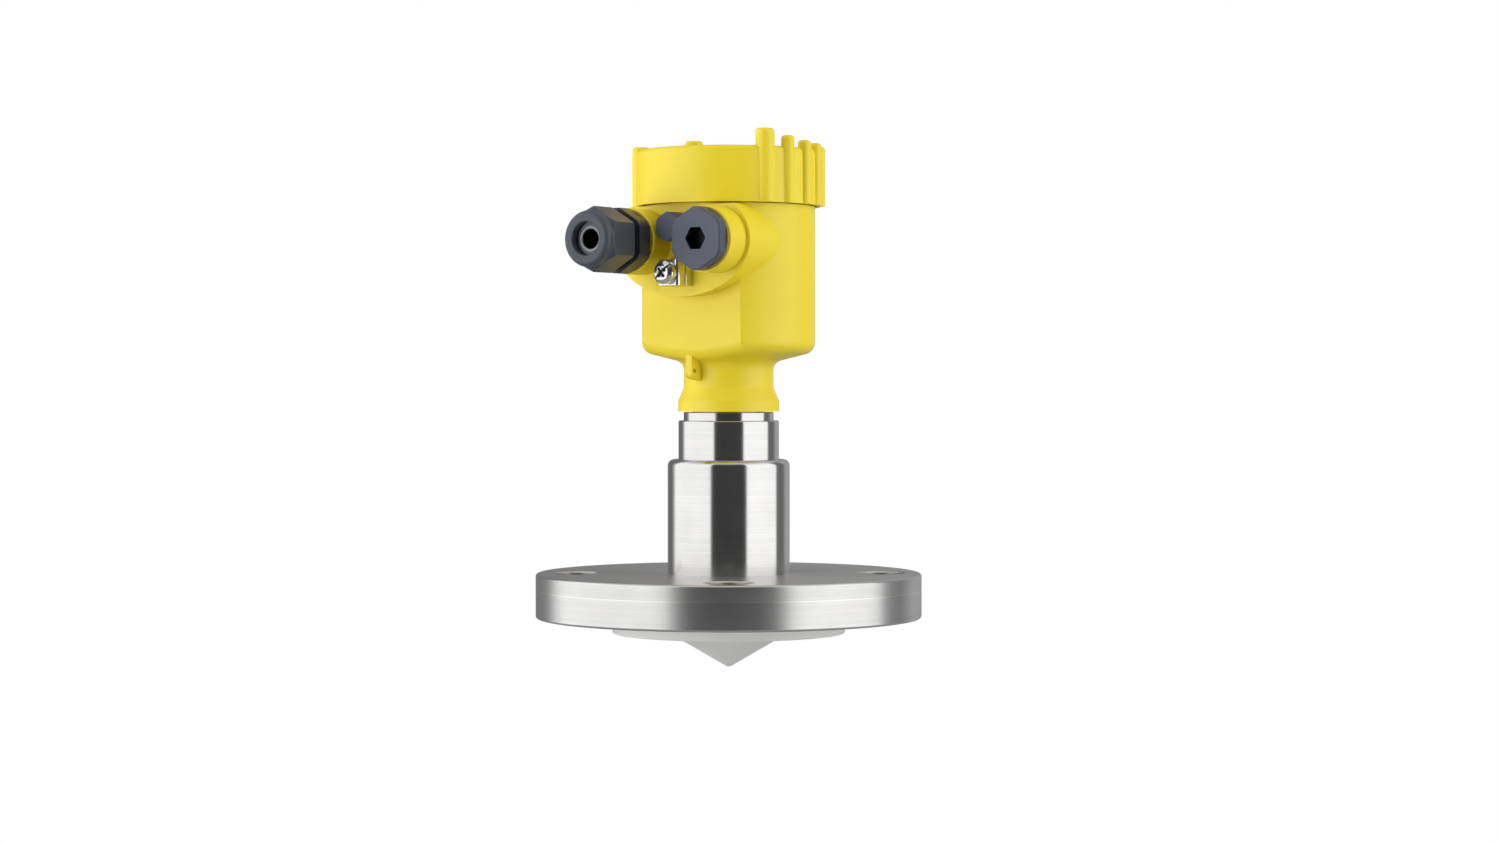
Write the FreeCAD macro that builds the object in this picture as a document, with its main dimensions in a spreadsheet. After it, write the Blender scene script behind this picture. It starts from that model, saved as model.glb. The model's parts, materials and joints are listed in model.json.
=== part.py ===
import FreeCAD, Part
import math
import os
import Sketcher

# Radar level transmitter, in millimetres.
# +Z runs up the axis. The origin is the centre of the bolt circle on the flange's underside.
# The two cable entries point along -Y.

V = FreeCAD.Vector
doc = FreeCAD.newDocument("radar_level_transmitter")
sheet = doc.addObject("Spreadsheet::Sheet", "Sizes")

# Driving dimensions
SIZES = {
    # Gaps between pieces, and how far a cut runs past what it cuts
    "face_gap": 0.3,
    "slip_gap": 0.1,
    "turn_gap": 0.08,
    "thread_gap": 0.1,
    "lid_gap": 0.35,
    "seal_gap": 0.15,
    "waveguide_gap": 0.3,
    "cut_past": 1.0,
    # Flange
    "flange_d": 152.4,
    "flange_thick": 17.5,
    "flange_round": 1.0,
    "raised_face_inset": 30.15,
    "raised_face_rise": 1.6,
    "bolt_inset": 15.875,
    "bolt_hole_d": 19.05,
    "bolt_turn": 35,
    "bolt_chamfer": 0.5,
    "sleeve_seat": 3.0,
    # Antenna
    "lens_disc_thick": 4.4,
    "lens_disc_round": 0.6,
    "lens_cone_d": 47.5,
    "lens_cone_drop": 13.5,
    "lens_tip_d": 1.6,
    "horn_d": 38.2,
    "horn_mouth_d": 35.6,
    "horn_cone_rise": 43.6,
    "horn_throat_d": 4.2,
    "lens_fill_gap": 0.2,
    "lens_seal_d": 60.0,
    "lens_seal_wire": 2.6,
    "lens_groove_wide": 3.0,
    "waveguide_d": 7.0,
    "waveguide_step": 2.0,
    "waveguide_rise": 62.0,
    # Steel neck
    "sleeve_d": 48.2,
    "sleeve_rise": 45.0,
    "sleeve_round": 2.5,
    "sleeve_spigot_d": 43.8,
    "sleeve_cap_thick": 10.5,
    "adapter_spigot_d": 25.8,
    "adapter_spigot_long": 10.0,
    "collar_d": 39.7,
    "collar_rise": 15.3,
    "collar_chamfer": 0.5,
    "shoulder_d": 35.6,
    "shoulder_rise": 3.3,
    "journal_d": 28.2,
    "journal_rise": 25.9,
    "journal_bore_d": 18.0,
    "journal_bore_drop": 37.0,
    # Swivel seals and retaining ring
    "swivel_seal_wire": 2.2,
    "swivel_groove_d": 23.3,
    "swivel_groove_wide": 2.6,
    "swivel_seal_first": 7.0,
    "swivel_seal_step": 6.5,
    "ring_inner_d": 26.0,
    "ring_outer_d": 32.8,
    "ring_thick": 1.5,
    "ring_opening": 24,
    "ring_room": 0.8,
    "ring_pocket_deep": 5.0,
    # Moulded head
    "foot_d": 40.0,
    "foot_rise": 4.1,
    "neck_d": 35.5,
    "flare_rise": 5.1,
    "flare_round": 2.0,
    "neck_rise": 19.3,
    "neck_round": 4.0,
    "underside_rise": 4.2,
    "head_d": 68.4,
    "head_bottom_round": 5.0,
    "head_rise": 80.5,
    "rim_d": 65.0,
    "rim_rise": 16.1,
    "rim_chamfer": 0.8,
    "cavity_d": 59.0,
    "floor_thick": 4.1,
    "facet_out": 25.2,
    "facet_wall": 2.7,
    # Entry pad
    "entry_x": 18.0,
    "entry_drop": 14.5,
    "pad_wide": 64.6,
    "pad_tall": 42.8,
    "pad_out": 32.0,
    "pad_root": 10.0,
    "pad_top_drop": 0.6,
    "boss_d": 25.6,
    "boss_long": 10.5,
    "boss_round": 0.5,
    "entry_bore_d": 19.8,
    "entry_bore_deep": 30.5,
    "plate_margin": 0.1,
    "plate_rise": 4.0,
    "lug_x": -2.2,
    "lug_thick": 2.9,
    "lug_out": 24.1,
    "lug_root_rise": 4.5,
    "lug_drop": 7.2,
    "lug_slope": 1.1,
    "lug_round": 2.0,
    "lug_hole_d": 1.8,
    "lug_hole_in": 2.0,
    "lug_hole_rise": 3.9,
    # Lid
    "lid_d": 73.0,
    "lid_draft": 0.2,
    "lid_round": 2.0,
    "lid_room": 3.0,
    "lid_thick": 3.0,
    "lid_rib_d": 76.2,
    "rib_wide": 7.4,
    "rib_narrow": 5.2,
    "rib_round": 1.5,
    "rib_start": -31,
    "rib_step": 16,
    "rib_top_1": 6.6,
    "rib_top_2": 4.2,
    "rib_top_3": 2.9,
    "rib_top_4": 2.4,
    "rib_top_5": 1.7,
    "lid_seal_wire": 2.0,
    # Electronics insert
    "module_gap": 0.8,
    "module_rise": 24.0,
    "module_wall": 1.8,
    "module_floor": 2.0,
    "board_ledge": 9.4,
    "board_ledge_wide": 1.6,
    "board_thick": 1.6,
    "cover_thick": 2.0,
    "post_d": 6.0,
    "post_x": 22.5,
    "post_y": 4.0,
    "module_screw_d": 2.8,
    "module_screw_head_d": 5.6,
    "module_screw_head": 2.0,
    "module_screw_bite": 4.2,
    "coupler_d": 12.0,
    "coupler_long": 11.0,
    "coupler_roof": 1.0,
    "coupler_pin_d": 7.0,
    "terminal_count": 5,
    "terminal_step": 7.6,
    "terminal_deep": 14.0,
    "terminal_rise": 10.0,
    "terminal_y": 4.0,
    "terminal_pit_d": 5.2,
    "terminal_pit_deep": 5.0,
    "terminal_mouth": 4.6,
    "terminal_sill": 0.8,
    "terminal_mouth_deep": 5.0,
    "terminal_screw_d": 4.6,
    "terminal_screw_tall": 3.2,
    "terminal_slot": 0.8,
    "terminal_slot_deep": 1.0,
    # Blind plug
    "gasket_thick": 1.0,
    "gasket_d": 24.2,
    "shank_d": 19.4,
    "plug_across": 22.6,
    "plug_over_corners": 24.2,
    "plug_head": 4.4,
    "plug_chamfer": 0.5,
    "plug_shank_long": 10.0,
    "socket_across": 8.2,
    "socket_deep": 6.5,
    # Cable gland
    "gland_across": 23.4,
    "gland_over_corners": 25.2,
    "gland_head": 6.5,
    "gland_shank_long": 12.0,
    "gland_bore_d": 13.0,
    "gland_neck_d": 18.6,
    "gland_neck_long": 9.5,
    "gland_seat_d": 16.0,
    "gland_seat_deep": 7.0,
    "nut_across": 22.0,
    "nut_start": 9.9,
    "nut_hex_long": 13.2,
    "nut_nose_d": 21.6,
    "nut_long": 16.9,
    "nut_nose_round": 2.2,
    "nut_chamfer": 1.6,
    "nut_edge": 0.5,
    "nut_mouth_d": 12.7,
    "nut_mouth_round": 0.6,
    "nut_lip": 2.6,
    "cage_wall": 0.7,
    "cage_ring": 3.0,
    "cage_slots": 8,
    "cage_slot_wide": 1.2,
    "grip_long": 13.5,
    "grip_hole_d": 7.8,
    # Vent
    "vent_across": 10.6,
    "vent_over_corners": 11.4,
    "vent_tall": 9.7,
    "vent_chamfer": 0.6,
    "vent_shank_d": 5.8,
    "vent_shank_long": 6.6,
    "vent_bore_d": 3.0,
    "vent_seat_d": 4.4,
    "membrane_thick": 0.5,
    # Earth terminal
    "ground_drop": 12.4,
    "ground_bush_d": 6.2,
    "ground_bush_long": 8.5,
    "ground_screw_d": 3.9,
    "ground_screw_long": 12.6,
    "ground_head_d": 9.2,
    "ground_head_tall": 3.4,
    "ground_head_round": 1.6,
    "ground_slot": 1.1,
    "ground_slot_deep": 1.2,
    "ground_cross": 5.0,
    "washer_d": 8.4,
    "washer_thick": 1.0,
    "clamp_wide": 10.0,
    "clamp_tall": 10.0,
    "clamp_deep": 4.7,
    "clamp_sheet": 1.0,
    "clamp_round": 1.6,
}


# A length that keeps its number and the sheet formula that gives it.
class Size:
    def __init__(self, number, formula):
        self.number = number
        self.formula = formula

    def __add__(self, other):
        other = as_size(other)
        return Size(self.number + other.number, "(%s + %s)" % (self.formula, other.formula))

    def __sub__(self, other):
        other = as_size(other)
        return Size(self.number - other.number, "(%s - %s)" % (self.formula, other.formula))

    def __mul__(self, other):
        other = as_size(other)
        return Size(self.number * other.number, "(%s * %s)" % (self.formula, other.formula))

    def __truediv__(self, other):
        other = as_size(other)
        return Size(self.number / other.number, "(%s / %s)" % (self.formula, other.formula))

    def __radd__(self, other):
        return as_size(other) + self

    def __rsub__(self, other):
        return as_size(other) - self

    def __rmul__(self, other):
        return as_size(other) * self

    def __neg__(self):
        return as_size(0) - self


def as_size(value):
    if isinstance(value, Size):
        return value
    return Size(float(value), "(%.9f)" % value)


def root(value):
    return Size(math.sqrt(value.number), "sqrt(%s)" % value.formula)


def cosine(angle):
    angle = as_size(angle)
    return Size(math.cos(math.radians(angle.number)), "cos(%s * 1 deg)" % angle.formula)


def sine(angle):
    angle = as_size(angle)
    return Size(math.sin(math.radians(angle.number)), "sin(%s * 1 deg)" % angle.formula)


def fill_sheet():
    for row, (name, number) in enumerate(SIZES.items(), start=1):
        sheet.set("A%d" % row, name)
        sheet.set("B%d" % row, repr(number))
        sheet.setAlias("B%d" % row, name)
    doc.recompute()


def size(name):
    return Size(float(SIZES[name]), "Sizes." + name)


def bind(target, path, value):
    target.setExpression(path, as_size(value).formula)


# Levels up the axis
flange_top = size("flange_thick")
raised_face = -size("raised_face_rise")
sleeve_top = flange_top + size("sleeve_rise")
collar_top = sleeve_top + size("collar_rise")
shoulder_top = collar_top + size("shoulder_rise")
journal_top = shoulder_top + size("journal_rise")
journal_bore_floor = journal_top - size("journal_bore_drop")
horn_top = sleeve_top - size("sleeve_cap_thick")
waveguide_seat = raised_face + size("horn_cone_rise") + size("waveguide_step")
foot_bottom = shoulder_top + size("face_gap")
foot_top = foot_bottom + size("foot_rise")
flare_top = foot_top + size("flare_rise")
underside_in = foot_bottom + size("neck_rise")
underside_out = underside_in + size("underside_rise")
floor_level = underside_out + size("floor_thick")
ring_shelf = floor_level - size("ring_pocket_deep")
lid_seat = foot_bottom + size("head_rise")
rim_top = lid_seat + size("rim_rise")
lid_bottom = lid_seat + size("face_gap")
lid_ceiling = rim_top + size("lid_room")
lid_top = lid_ceiling + size("lid_thick")
module_top = floor_level + size("module_rise")
cover_top = module_top + size("cover_thick")

# Radii and places that more than one piece uses
flange_r = size("flange_d") / 2
raised_face_r = flange_r - size("raised_face_inset")
horn_r = size("horn_d") / 2
sleeve_r = size("sleeve_d") / 2
sleeve_spigot_r = size("sleeve_spigot_d") / 2
adapter_spigot_r = size("adapter_spigot_d") / 2
waveguide_r = size("waveguide_d") / 2
throat_r = size("horn_throat_d") / 2
journal_r = size("journal_d") / 2
journal_bore_r = size("journal_bore_d") / 2
rim_r = size("rim_d") / 2
cavity_r = size("cavity_d") / 2
cavity_flat = size("facet_out") - size("facet_wall")
module_r = cavity_r - size("module_gap")
module_flat = cavity_flat - size("module_gap")
entry_level = lid_seat - size("entry_drop")
boss_face = size("pad_out") + size("boss_long")
vent_half_flat = size("vent_over_corners") - size("vent_across") * math.cos(math.pi / 6)
vent_corner = root(size("vent_across") * size("vent_across") / 4 + vent_half_flat * vent_half_flat)
vent_reach = size("boss_d") / 2 + vent_corner + size("slip_gap") * 2
vent_level = entry_level + root(vent_reach * vent_reach - size("entry_x") * size("entry_x"))
ground_level = entry_level - size("ground_drop")
ground_face = size("pad_out") + size("plate_rise")
shank_r = size("shank_d") / 2
grip_hole_r = size("grip_hole_d") / 2
POST_PLACES = [(size("post_x"), size("post_y")), (-size("post_x"), size("post_y"))]


def new_body(label):
    body = doc.addObject("PartDesign::Body", label)
    body.Label = label
    return body


def new_sketch(body, name, role, offset=0):
    sketch = body.newObject("Sketcher::SketchObject", name)
    planes = [item for item in body.Origin.OriginFeatures if item.Role == role]
    sketch.AttachmentSupport = (planes[0], [""])
    sketch.MapMode = "FlatFace"
    bind(sketch, "AttachmentOffset.Base.z", offset)
    return sketch


def fix_point(sketch, item, point, x, y):
    for kind, value in (("DistanceX", as_size(x)), ("DistanceY", as_size(y))):
        rule = sketch.addConstraint(Sketcher.Constraint(kind, -1, 1, item, point, value.number))
        bind(sketch, "Constraints[%d]" % rule, value)


# Draws a closed outline through corners (x, y) or (x, y, round).
def outline(sketch, corners):
    spots = [V(as_size(corner[0]).number, as_size(corner[1]).number, 0) for corner in corners]
    count = len(corners)
    first = sketch.GeometryCount
    starts = []
    ends = []
    for index, corner in enumerate(corners):
        start = end = spots[index]
        if len(corner) == 3:
            back = (spots[index - 1] - spots[index]).normalize()
            ahead = (spots[(index + 1) % count] - spots[index]).normalize()
            reach = as_size(corner[2]).number / math.tan(back.getAngle(ahead) / 2)
            start = spots[index] + back * reach
            end = spots[index] + ahead * reach
        starts.append(start)
        ends.append(end)
    for index in range(count):
        sketch.addGeometry(Part.LineSegment(ends[index], starts[(index + 1) % count]), False)
    for index, corner in enumerate(corners):
        before = first + (index - 1) % count
        after = first + index
        if len(corner) == 3:
            round_corner(sketch, corner, spots[index], before, after, starts[index], ends[index])
        else:
            sketch.addConstraint(Sketcher.Constraint("Coincident", before, 2, after, 1))
            fix_point(sketch, after, 1, corner[0], corner[1])


def round_corner(sketch, corner, spot, before, after, start, end):
    radius = as_size(corner[2])
    middle_line = ((start + end) * 0.5 - spot).normalize()
    half_turn = middle_line.getAngle(start - spot)
    centre = spot + middle_line * (radius.number / math.sin(half_turn))
    middle = centre - middle_line * radius.number
    arc = sketch.addGeometry(Part.Arc(start, middle, end), False)
    first, second = 1, 2
    if sketch.getPoint(arc, 1).distanceToPoint(start) > sketch.getPoint(arc, 2).distanceToPoint(start):
        first, second = 2, 1
    mark = sketch.addGeometry(Part.Point(spot), True)
    sketch.addConstraint(Sketcher.Constraint("Tangent", before, 2, arc, first))
    sketch.addConstraint(Sketcher.Constraint("Tangent", after, 1, arc, second))
    sketch.addConstraint(Sketcher.Constraint("PointOnObject", mark, 1, before))
    sketch.addConstraint(Sketcher.Constraint("PointOnObject", mark, 1, after))
    rule = sketch.addConstraint(Sketcher.Constraint("Radius", arc, radius.number))
    bind(sketch, "Constraints[%d]" % rule, radius)
    fix_point(sketch, mark, 1, corner[0], corner[1])


def circle(sketch, radius, x=0, y=0):
    radius = as_size(radius)
    centre = V(as_size(x).number, as_size(y).number, 0)
    item = sketch.addGeometry(Part.Circle(centre, V(0, 0, 1), radius.number), False)
    rule = sketch.addConstraint(Sketcher.Constraint("Radius", item, radius.number))
    bind(sketch, "Constraints[%d]" % rule, radius)
    fix_point(sketch, item, 3, x, y)


# Corners of a regular polygon, its first corner at the angle given in degrees.
def polygon(sides, across, start, x=0, y=0):
    corner_r = across / 2 / math.cos(math.pi / sides)
    corners = []
    for index in range(sides):
        angle = math.radians(start + 360 * index / sides)
        corners.append((corner_r * math.cos(angle) + x, corner_r * math.sin(angle) + y))
    return corners


# Spins a point about the middle of its sketch.
def spun(x, y, angle):
    return (x * cosine(angle) - y * sine(angle), x * sine(angle) + y * cosine(angle))


# An upright hexagon whose corners are cut off flat.
def trimmed_hexagon(across, over_corners):
    half_flat = over_corners - across * math.cos(math.pi / 6)
    corners = []
    for index in range(6):
        for side in (-half_flat, half_flat):
            corners.append(spun(across / 2, side, 60 * index))
    return corners


def rectangle(left, right, bottom, top):
    return [(left, bottom), (right, bottom), (right, top), (left, top)]


# A round outline with one flat side towards -Y.
def flatted_circle(sketch, radius, flat):
    radius = as_size(radius)
    flat = as_size(flat)
    dip = math.asin(flat.number / radius.number)
    whole = Part.Circle(V(0, 0, 0), V(0, 0, 1), radius.number)
    arc = sketch.addGeometry(Part.ArcOfCircle(whole, -dip, math.pi + dip), False)
    half = radius.number * math.cos(dip)
    chord = Part.LineSegment(V(-half, -flat.number, 0), V(half, -flat.number, 0))
    line = sketch.addGeometry(chord, False)
    sketch.addConstraint(Sketcher.Constraint("Coincident", arc, 3, -1, 1))
    sketch.addConstraint(Sketcher.Constraint("Coincident", arc, 2, line, 1))
    sketch.addConstraint(Sketcher.Constraint("Coincident", line, 2, arc, 1))
    sketch.addConstraint(Sketcher.Constraint("Horizontal", line))
    rule = sketch.addConstraint(Sketcher.Constraint("Radius", arc, radius.number))
    bind(sketch, "Constraints[%d]" % rule, radius)
    rule = sketch.addConstraint(Sketcher.Constraint("DistanceY", -1, 1, line, 1, -flat.number))
    bind(sketch, "Constraints[%d]" % rule, -flat)


def turn(body, corners, name="turned", angle=360, kind="PartDesign::Revolution"):
    sketch = new_sketch(body, name + "_outline", "XZ_Plane")
    outline(sketch, corners)
    feature = body.newObject(kind, name)
    feature.Profile = sketch
    feature.ReferenceAxis = (sketch, ["V_Axis"])
    bind(feature, "Angle", angle)
    return feature


def groove(body, corners, name):
    return turn(body, corners, name, kind="PartDesign::Groove")


def extrude(body, sketch, length, name, kind, backwards=False, both=False):
    feature = body.newObject(kind, name)
    feature.Profile = sketch
    bind(feature, "Length", length)
    feature.Reversed = backwards
    if both:
        feature.SideType = "Symmetric"
    return feature


def pad(body, sketch, length, name, backwards=False, both=False):
    return extrude(body, sketch, length, name, "PartDesign::Pad", backwards, both)


def pocket(body, sketch, length, name, backwards=False, both=False):
    return extrude(body, sketch, length, name, "PartDesign::Pocket", backwards, both)


# Drills round holes down from a level.
def drill(body, places, radius, level, deep, name, role="XY_Plane"):
    sketch = new_sketch(body, name + "_outline", role, level)
    for x, y in places:
        circle(sketch, radius, x, y)
    return pocket(body, sketch, deep, name)


# Cuts flats down from a level, leaving the outline inside a round blank.
def cut_flats(body, corners, blank_d, level, deep, name):
    sketch = new_sketch(body, name + "_outline", "XY_Plane", level)
    outline(sketch, corners)
    circle(sketch, blank_d)
    return pocket(body, sketch, deep, name)


def edges_where(feature, test):
    doc.recompute()
    return ["Edge%d" % number for number, edge in enumerate(feature.Shape.Edges, start=1) if test(edge)]


def dress(body, feature, radius, test, name, kind="PartDesign::Fillet"):
    edges = edges_where(feature, test)
    if not edges:
        raise ValueError("no edge found for " + name)
    dressed = body.newObject(kind, name)
    dressed.Base = (feature, edges)
    bind(dressed, "Radius" if kind == "PartDesign::Fillet" else "Size", radius)
    return dressed


def is_round(edge, radius, level=None):
    if not isinstance(edge.Curve, Part.Circle) or abs(edge.Curve.Radius - radius.number) > 0.001:
        return False
    return level is None or abs(edge.Curve.Center.z - level.number) < 0.001


# Places a piece that was modelled standing on its own XY plane so that it points along -Y.
def face_front(piece, x, out, level):
    piece.Placement.Rotation = FreeCAD.Rotation(V(1, 0, 0), 90)
    bind(piece, "Placement.Base.x", x)
    bind(piece, "Placement.Base.y", -as_size(out))
    bind(piece, "Placement.Base.z", level)


def torus(label, ring_r, wire_r, level):
    ring = doc.addObject("Part::Torus", label)
    bind(ring, "Radius1", ring_r)
    bind(ring, "Radius2", wire_r)
    bind(ring, "Placement.Base.z", level)
    return ring


def group(label, members):
    joined = doc.addObject("Part::Compound", label)
    joined.Links = members
    return joined


# Flange with its raised face, bolt holes and O-ring groove
def make_flange():
    body = new_body("flange")
    edge = size("flange_round")
    turn(body, [
        (0, raised_face), (raised_face_r, raised_face), (raised_face_r, 0), (flange_r, 0, edge),
        (flange_r, flange_top, edge), (0, flange_top)])
    seat = size("sleeve_seat")
    centre_hole(body, sleeve_spigot_r + size("slip_gap"), flange_top, flange_top - seat, "sleeve_bore")
    centre_hole(body, horn_r + size("slip_gap"), seat, seat - raised_face, "horn_bore")
    inner = size("lens_seal_d") / 2 - size("lens_groove_wide") / 2
    reach = size("lens_seal_d") / 2 + size("lens_groove_wide") / 2
    roof = raised_face + size("lens_seal_wire") + size("slip_gap")
    groove(body, rectangle(inner, reach, raised_face, roof), "seal_groove")
    circle_r = flange_r - size("bolt_inset")
    hole_r = size("bolt_hole_d") / 2
    places = []
    for quarter in range(4):
        angle = size("bolt_turn") + 90 * quarter
        places.append((circle_r * cosine(angle), circle_r * sine(angle)))
    holes = drill(body, places, hole_r, flange_top, flange_top, "bolt_holes")
    dress(body, holes, size("bolt_chamfer"), lambda edge: is_round(edge, hole_r), "bolt_chamfers",
          "PartDesign::Chamfer")


def centre_hole(body, radius, level, deep, name):
    return drill(body, [(0, 0)], radius, level, deep, name)


# Sleeve that is welded into the flange and closes over the horn
def make_neck_sleeve():
    bore_r = horn_r + size("slip_gap")
    turn(new_body("neck_sleeve"), [
        (bore_r, size("sleeve_seat")), (sleeve_spigot_r, size("sleeve_seat")), (sleeve_spigot_r, flange_top),
        (sleeve_r, flange_top), (sleeve_r, sleeve_top, size("sleeve_round")),
        (adapter_spigot_r + size("slip_gap"), sleeve_top), (adapter_spigot_r + size("slip_gap"), horn_top),
        (bore_r, horn_top)])


# Collar, shoulder and the journal that the head turns on
def make_neck_adapter():
    body = new_body("neck_adapter")
    collar_r = size("collar_d") / 2
    shoulder_r = size("shoulder_d") / 2
    waveguide_bore = waveguide_r + size("slip_gap")
    turn(body, [
        (waveguide_bore, sleeve_top - size("adapter_spigot_long")),
        (adapter_spigot_r, sleeve_top - size("adapter_spigot_long")), (adapter_spigot_r, sleeve_top),
        (collar_r, sleeve_top), (collar_r, collar_top - size("collar_chamfer")),
        (collar_r - size("collar_chamfer"), collar_top), (shoulder_r, collar_top), (shoulder_r, shoulder_top),
        (journal_r, shoulder_top), (journal_r, journal_top), (journal_bore_r, journal_top),
        (journal_bore_r, journal_bore_floor), (waveguide_bore, journal_bore_floor)])
    groove_floor = size("swivel_groove_d") / 2
    past_journal = journal_r + size("cut_past")
    for number in range(2):
        middle = swivel_seal_level(number)
        low = middle - size("swivel_groove_wide") / 2
        high = middle + size("swivel_groove_wide") / 2
        groove(body, rectangle(groove_floor, past_journal, low, high), "seal_groove_%d" % (number + 1))
    low = ring_level() - size("slip_gap") / 2
    high = ring_level() + size("ring_thick") + size("slip_gap") / 2
    floor_r = size("ring_inner_d") / 2 - size("slip_gap")
    groove(body, rectangle(floor_r, past_journal, low, high), "ring_groove")


def swivel_seal_level(number):
    return foot_bottom + size("swivel_seal_first") + size("swivel_seal_step") * number


def ring_level():
    return ring_shelf + size("face_gap")


# Horn inside the flange and the sleeve, with the seat of the waveguide at its top
def make_antenna_horn():
    mouth_r = size("horn_mouth_d") / 2
    cone_top = raised_face + size("horn_cone_rise")
    tube_bore = waveguide_r + size("slip_gap")
    turn(new_body("antenna_horn"), [
        (mouth_r, raised_face), (horn_r, raised_face), (horn_r, horn_top), (tube_bore, horn_top),
        (tube_bore, waveguide_seat), (throat_r, waveguide_seat), (throat_r, cone_top)])


# White plastic disc with the cone below it and the filling of the horn above it
def make_antenna_lens():
    disc_bottom = raised_face - size("lens_disc_thick")
    tip_r = size("lens_tip_d") / 2
    fill = size("lens_fill_gap")
    cone_top = raised_face + size("horn_cone_rise")
    turn(new_body("antenna_lens"), [
        (0, disc_bottom - size("lens_cone_drop")), (tip_r, disc_bottom - size("lens_cone_drop")),
        (size("lens_cone_d") / 2, disc_bottom), (raised_face_r, disc_bottom, size("lens_disc_round")),
        (raised_face_r, raised_face), (size("horn_mouth_d") / 2 - fill, raised_face),
        (throat_r - fill, cone_top), (0, cone_top)])


def make_lens_seal():
    wire_r = size("lens_seal_wire") / 2
    torus("lens_seal", size("lens_seal_d") / 2, wire_r, raised_face + wire_r)


def make_waveguide_tube():
    top = waveguide_seat + size("waveguide_rise")
    turn(new_body("waveguide_tube"), rectangle(throat_r, waveguide_r, waveguide_seat, top))


# Two O-rings in the journal's grooves
def make_swivel_seals():
    wire_r = size("swivel_seal_wire") / 2
    ring_r = size("swivel_groove_d") / 2 + wire_r + size("slip_gap")
    rings = []
    for number in range(2):
        rings.append(torus("swivel_seal_%d" % (number + 1), ring_r, wire_r, swivel_seal_level(number)))
    group("swivel_seals", rings)


# Open snap ring that keeps the head on the journal
def make_retaining_ring():
    body = new_body("retaining_ring")
    level = ring_level()
    section = rectangle(size("ring_inner_d") / 2, size("ring_outer_d") / 2, level, level + size("ring_thick"))
    turn(body, section, angle=360 - size("ring_opening"))


# Moulded head: foot, flare, neck, flat-fronted chamber, entry pad, bosses and rim
def make_housing():
    body = new_body("housing")
    head_r = size("head_d") / 2
    neck_r = size("neck_d") / 2
    foot_r = size("foot_d") / 2
    turn(body, [
        (0, foot_bottom), (foot_r, foot_bottom), (foot_r, foot_top),
        (neck_r, flare_top, size("flare_round")), (neck_r, underside_in, size("neck_round")),
        (head_r, underside_out), (head_r, lid_seat), (0, lid_seat)])
    facet = front_facet(body, head_r)
    low_edge = underside_out.number + 0.01
    dress(body, facet, size("head_bottom_round"),
          lambda edge: is_bottom_edge(edge, head_r.number, low_edge), "bottom_round")
    entry_pad(body)
    rim_sketch = new_sketch(body, "rim_outline", "XY_Plane", lid_seat)
    circle(rim_sketch, rim_r)
    rim = pad(body, rim_sketch, size("rim_rise"), "rim")
    dress(body, rim, size("rim_chamfer"), lambda edge: is_round(edge, rim_r, rim_top), "rim_chamfers",
          "PartDesign::Chamfer")
    entry_bosses(body)
    ground_plate(body)
    seal_lug(body)
    hollow_head(body)


def front_facet(body, head_r):
    sketch = new_sketch(body, "facet_outline", "XZ_Plane", size("facet_out"))
    outline(sketch, rectangle(-head_r, head_r, underside_in, lid_seat))
    return pocket(body, sketch, head_r - size("facet_out") + size("cut_past"), "facet", backwards=True)


def is_bottom_edge(edge, head_r, low_edge):
    box = edge.BoundBox
    at_rim = max(math.hypot(vertex.X, vertex.Y) for vertex in edge.Vertexes) > head_r - 0.01
    return box.ZMax < low_edge and box.ZLength < 5 and at_rim


# Oval pad that the entries stand on, its top cut level just under the lid
def entry_pad(body):
    oval = new_sketch(body, "pad_outline", "XZ_Plane", size("pad_out"))
    half_wide = size("pad_wide") / 2
    half_tall = size("pad_tall") / 2
    centre = V(0, entry_level.number, 0)
    wide = centre + V(half_wide.number, 0, 0)
    tall = centre + V(0, half_tall.number, 0)
    item = oval.addGeometry(Part.Ellipse(wide, tall, centre), False)
    oval.exposeInternalGeometry(item)
    fix_point(oval, item, 3, 0, entry_level)
    major = oval.addConstraint(Sketcher.Constraint("Distance", item + 1, half_wide.number * 2))
    bind(oval, "Constraints[%d]" % major, size("pad_wide"))
    minor = oval.addConstraint(Sketcher.Constraint("Distance", item + 2, half_tall.number * 2))
    bind(oval, "Constraints[%d]" % minor, size("pad_tall"))
    oval.addConstraint(Sketcher.Constraint("Horizontal", item + 1))
    pad(body, oval, size("pad_out") - size("pad_root"), "entry_pad", backwards=True)
    top = new_sketch(body, "pad_top_outline", "XY_Plane", lid_seat - size("pad_top_drop"))
    outline(top, rectangle(-size("pad_wide"), size("pad_wide"), -size("pad_wide"), size("pad_wide")))
    circle(top, size("head_d") / 2)
    pocket(body, top, size("pad_tall"), "pad_top", backwards=True)
    above = new_sketch(body, "seat_outline", "XY_Plane", lid_seat)
    circle(above, size("head_d") / 2 + size("cut_past"))
    pocket(body, above, size("pad_tall"), "seat_face", backwards=True)


def entry_bosses(body):
    boss_r = size("boss_d") / 2
    sketch = new_sketch(body, "boss_outline", "XZ_Plane", boss_face)
    for x in (size("entry_x"), -size("entry_x")):
        circle(sketch, boss_r, x, entry_level)
    bosses = pad(body, sketch, size("boss_long"), "entry_bosses", backwards=True)
    front = -boss_face.number
    dress(body, bosses, size("boss_round"),
          lambda edge: is_round(edge, boss_r) and abs(edge.Curve.Center.y - front) < 0.001, "boss_rounds")


def ground_plate(body):
    sketch = new_sketch(body, "plate_outline", "XZ_Plane", ground_face)
    half_wide = size("clamp_wide") / 2 + size("plate_margin")
    half_tall = size("clamp_tall") / 2 + size("plate_margin")
    outline(sketch, rectangle(-half_wide, half_wide, ground_level - half_tall, ground_level + half_tall))
    pad(body, sketch, size("plate_rise"), "ground_plate", backwards=True)


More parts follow.
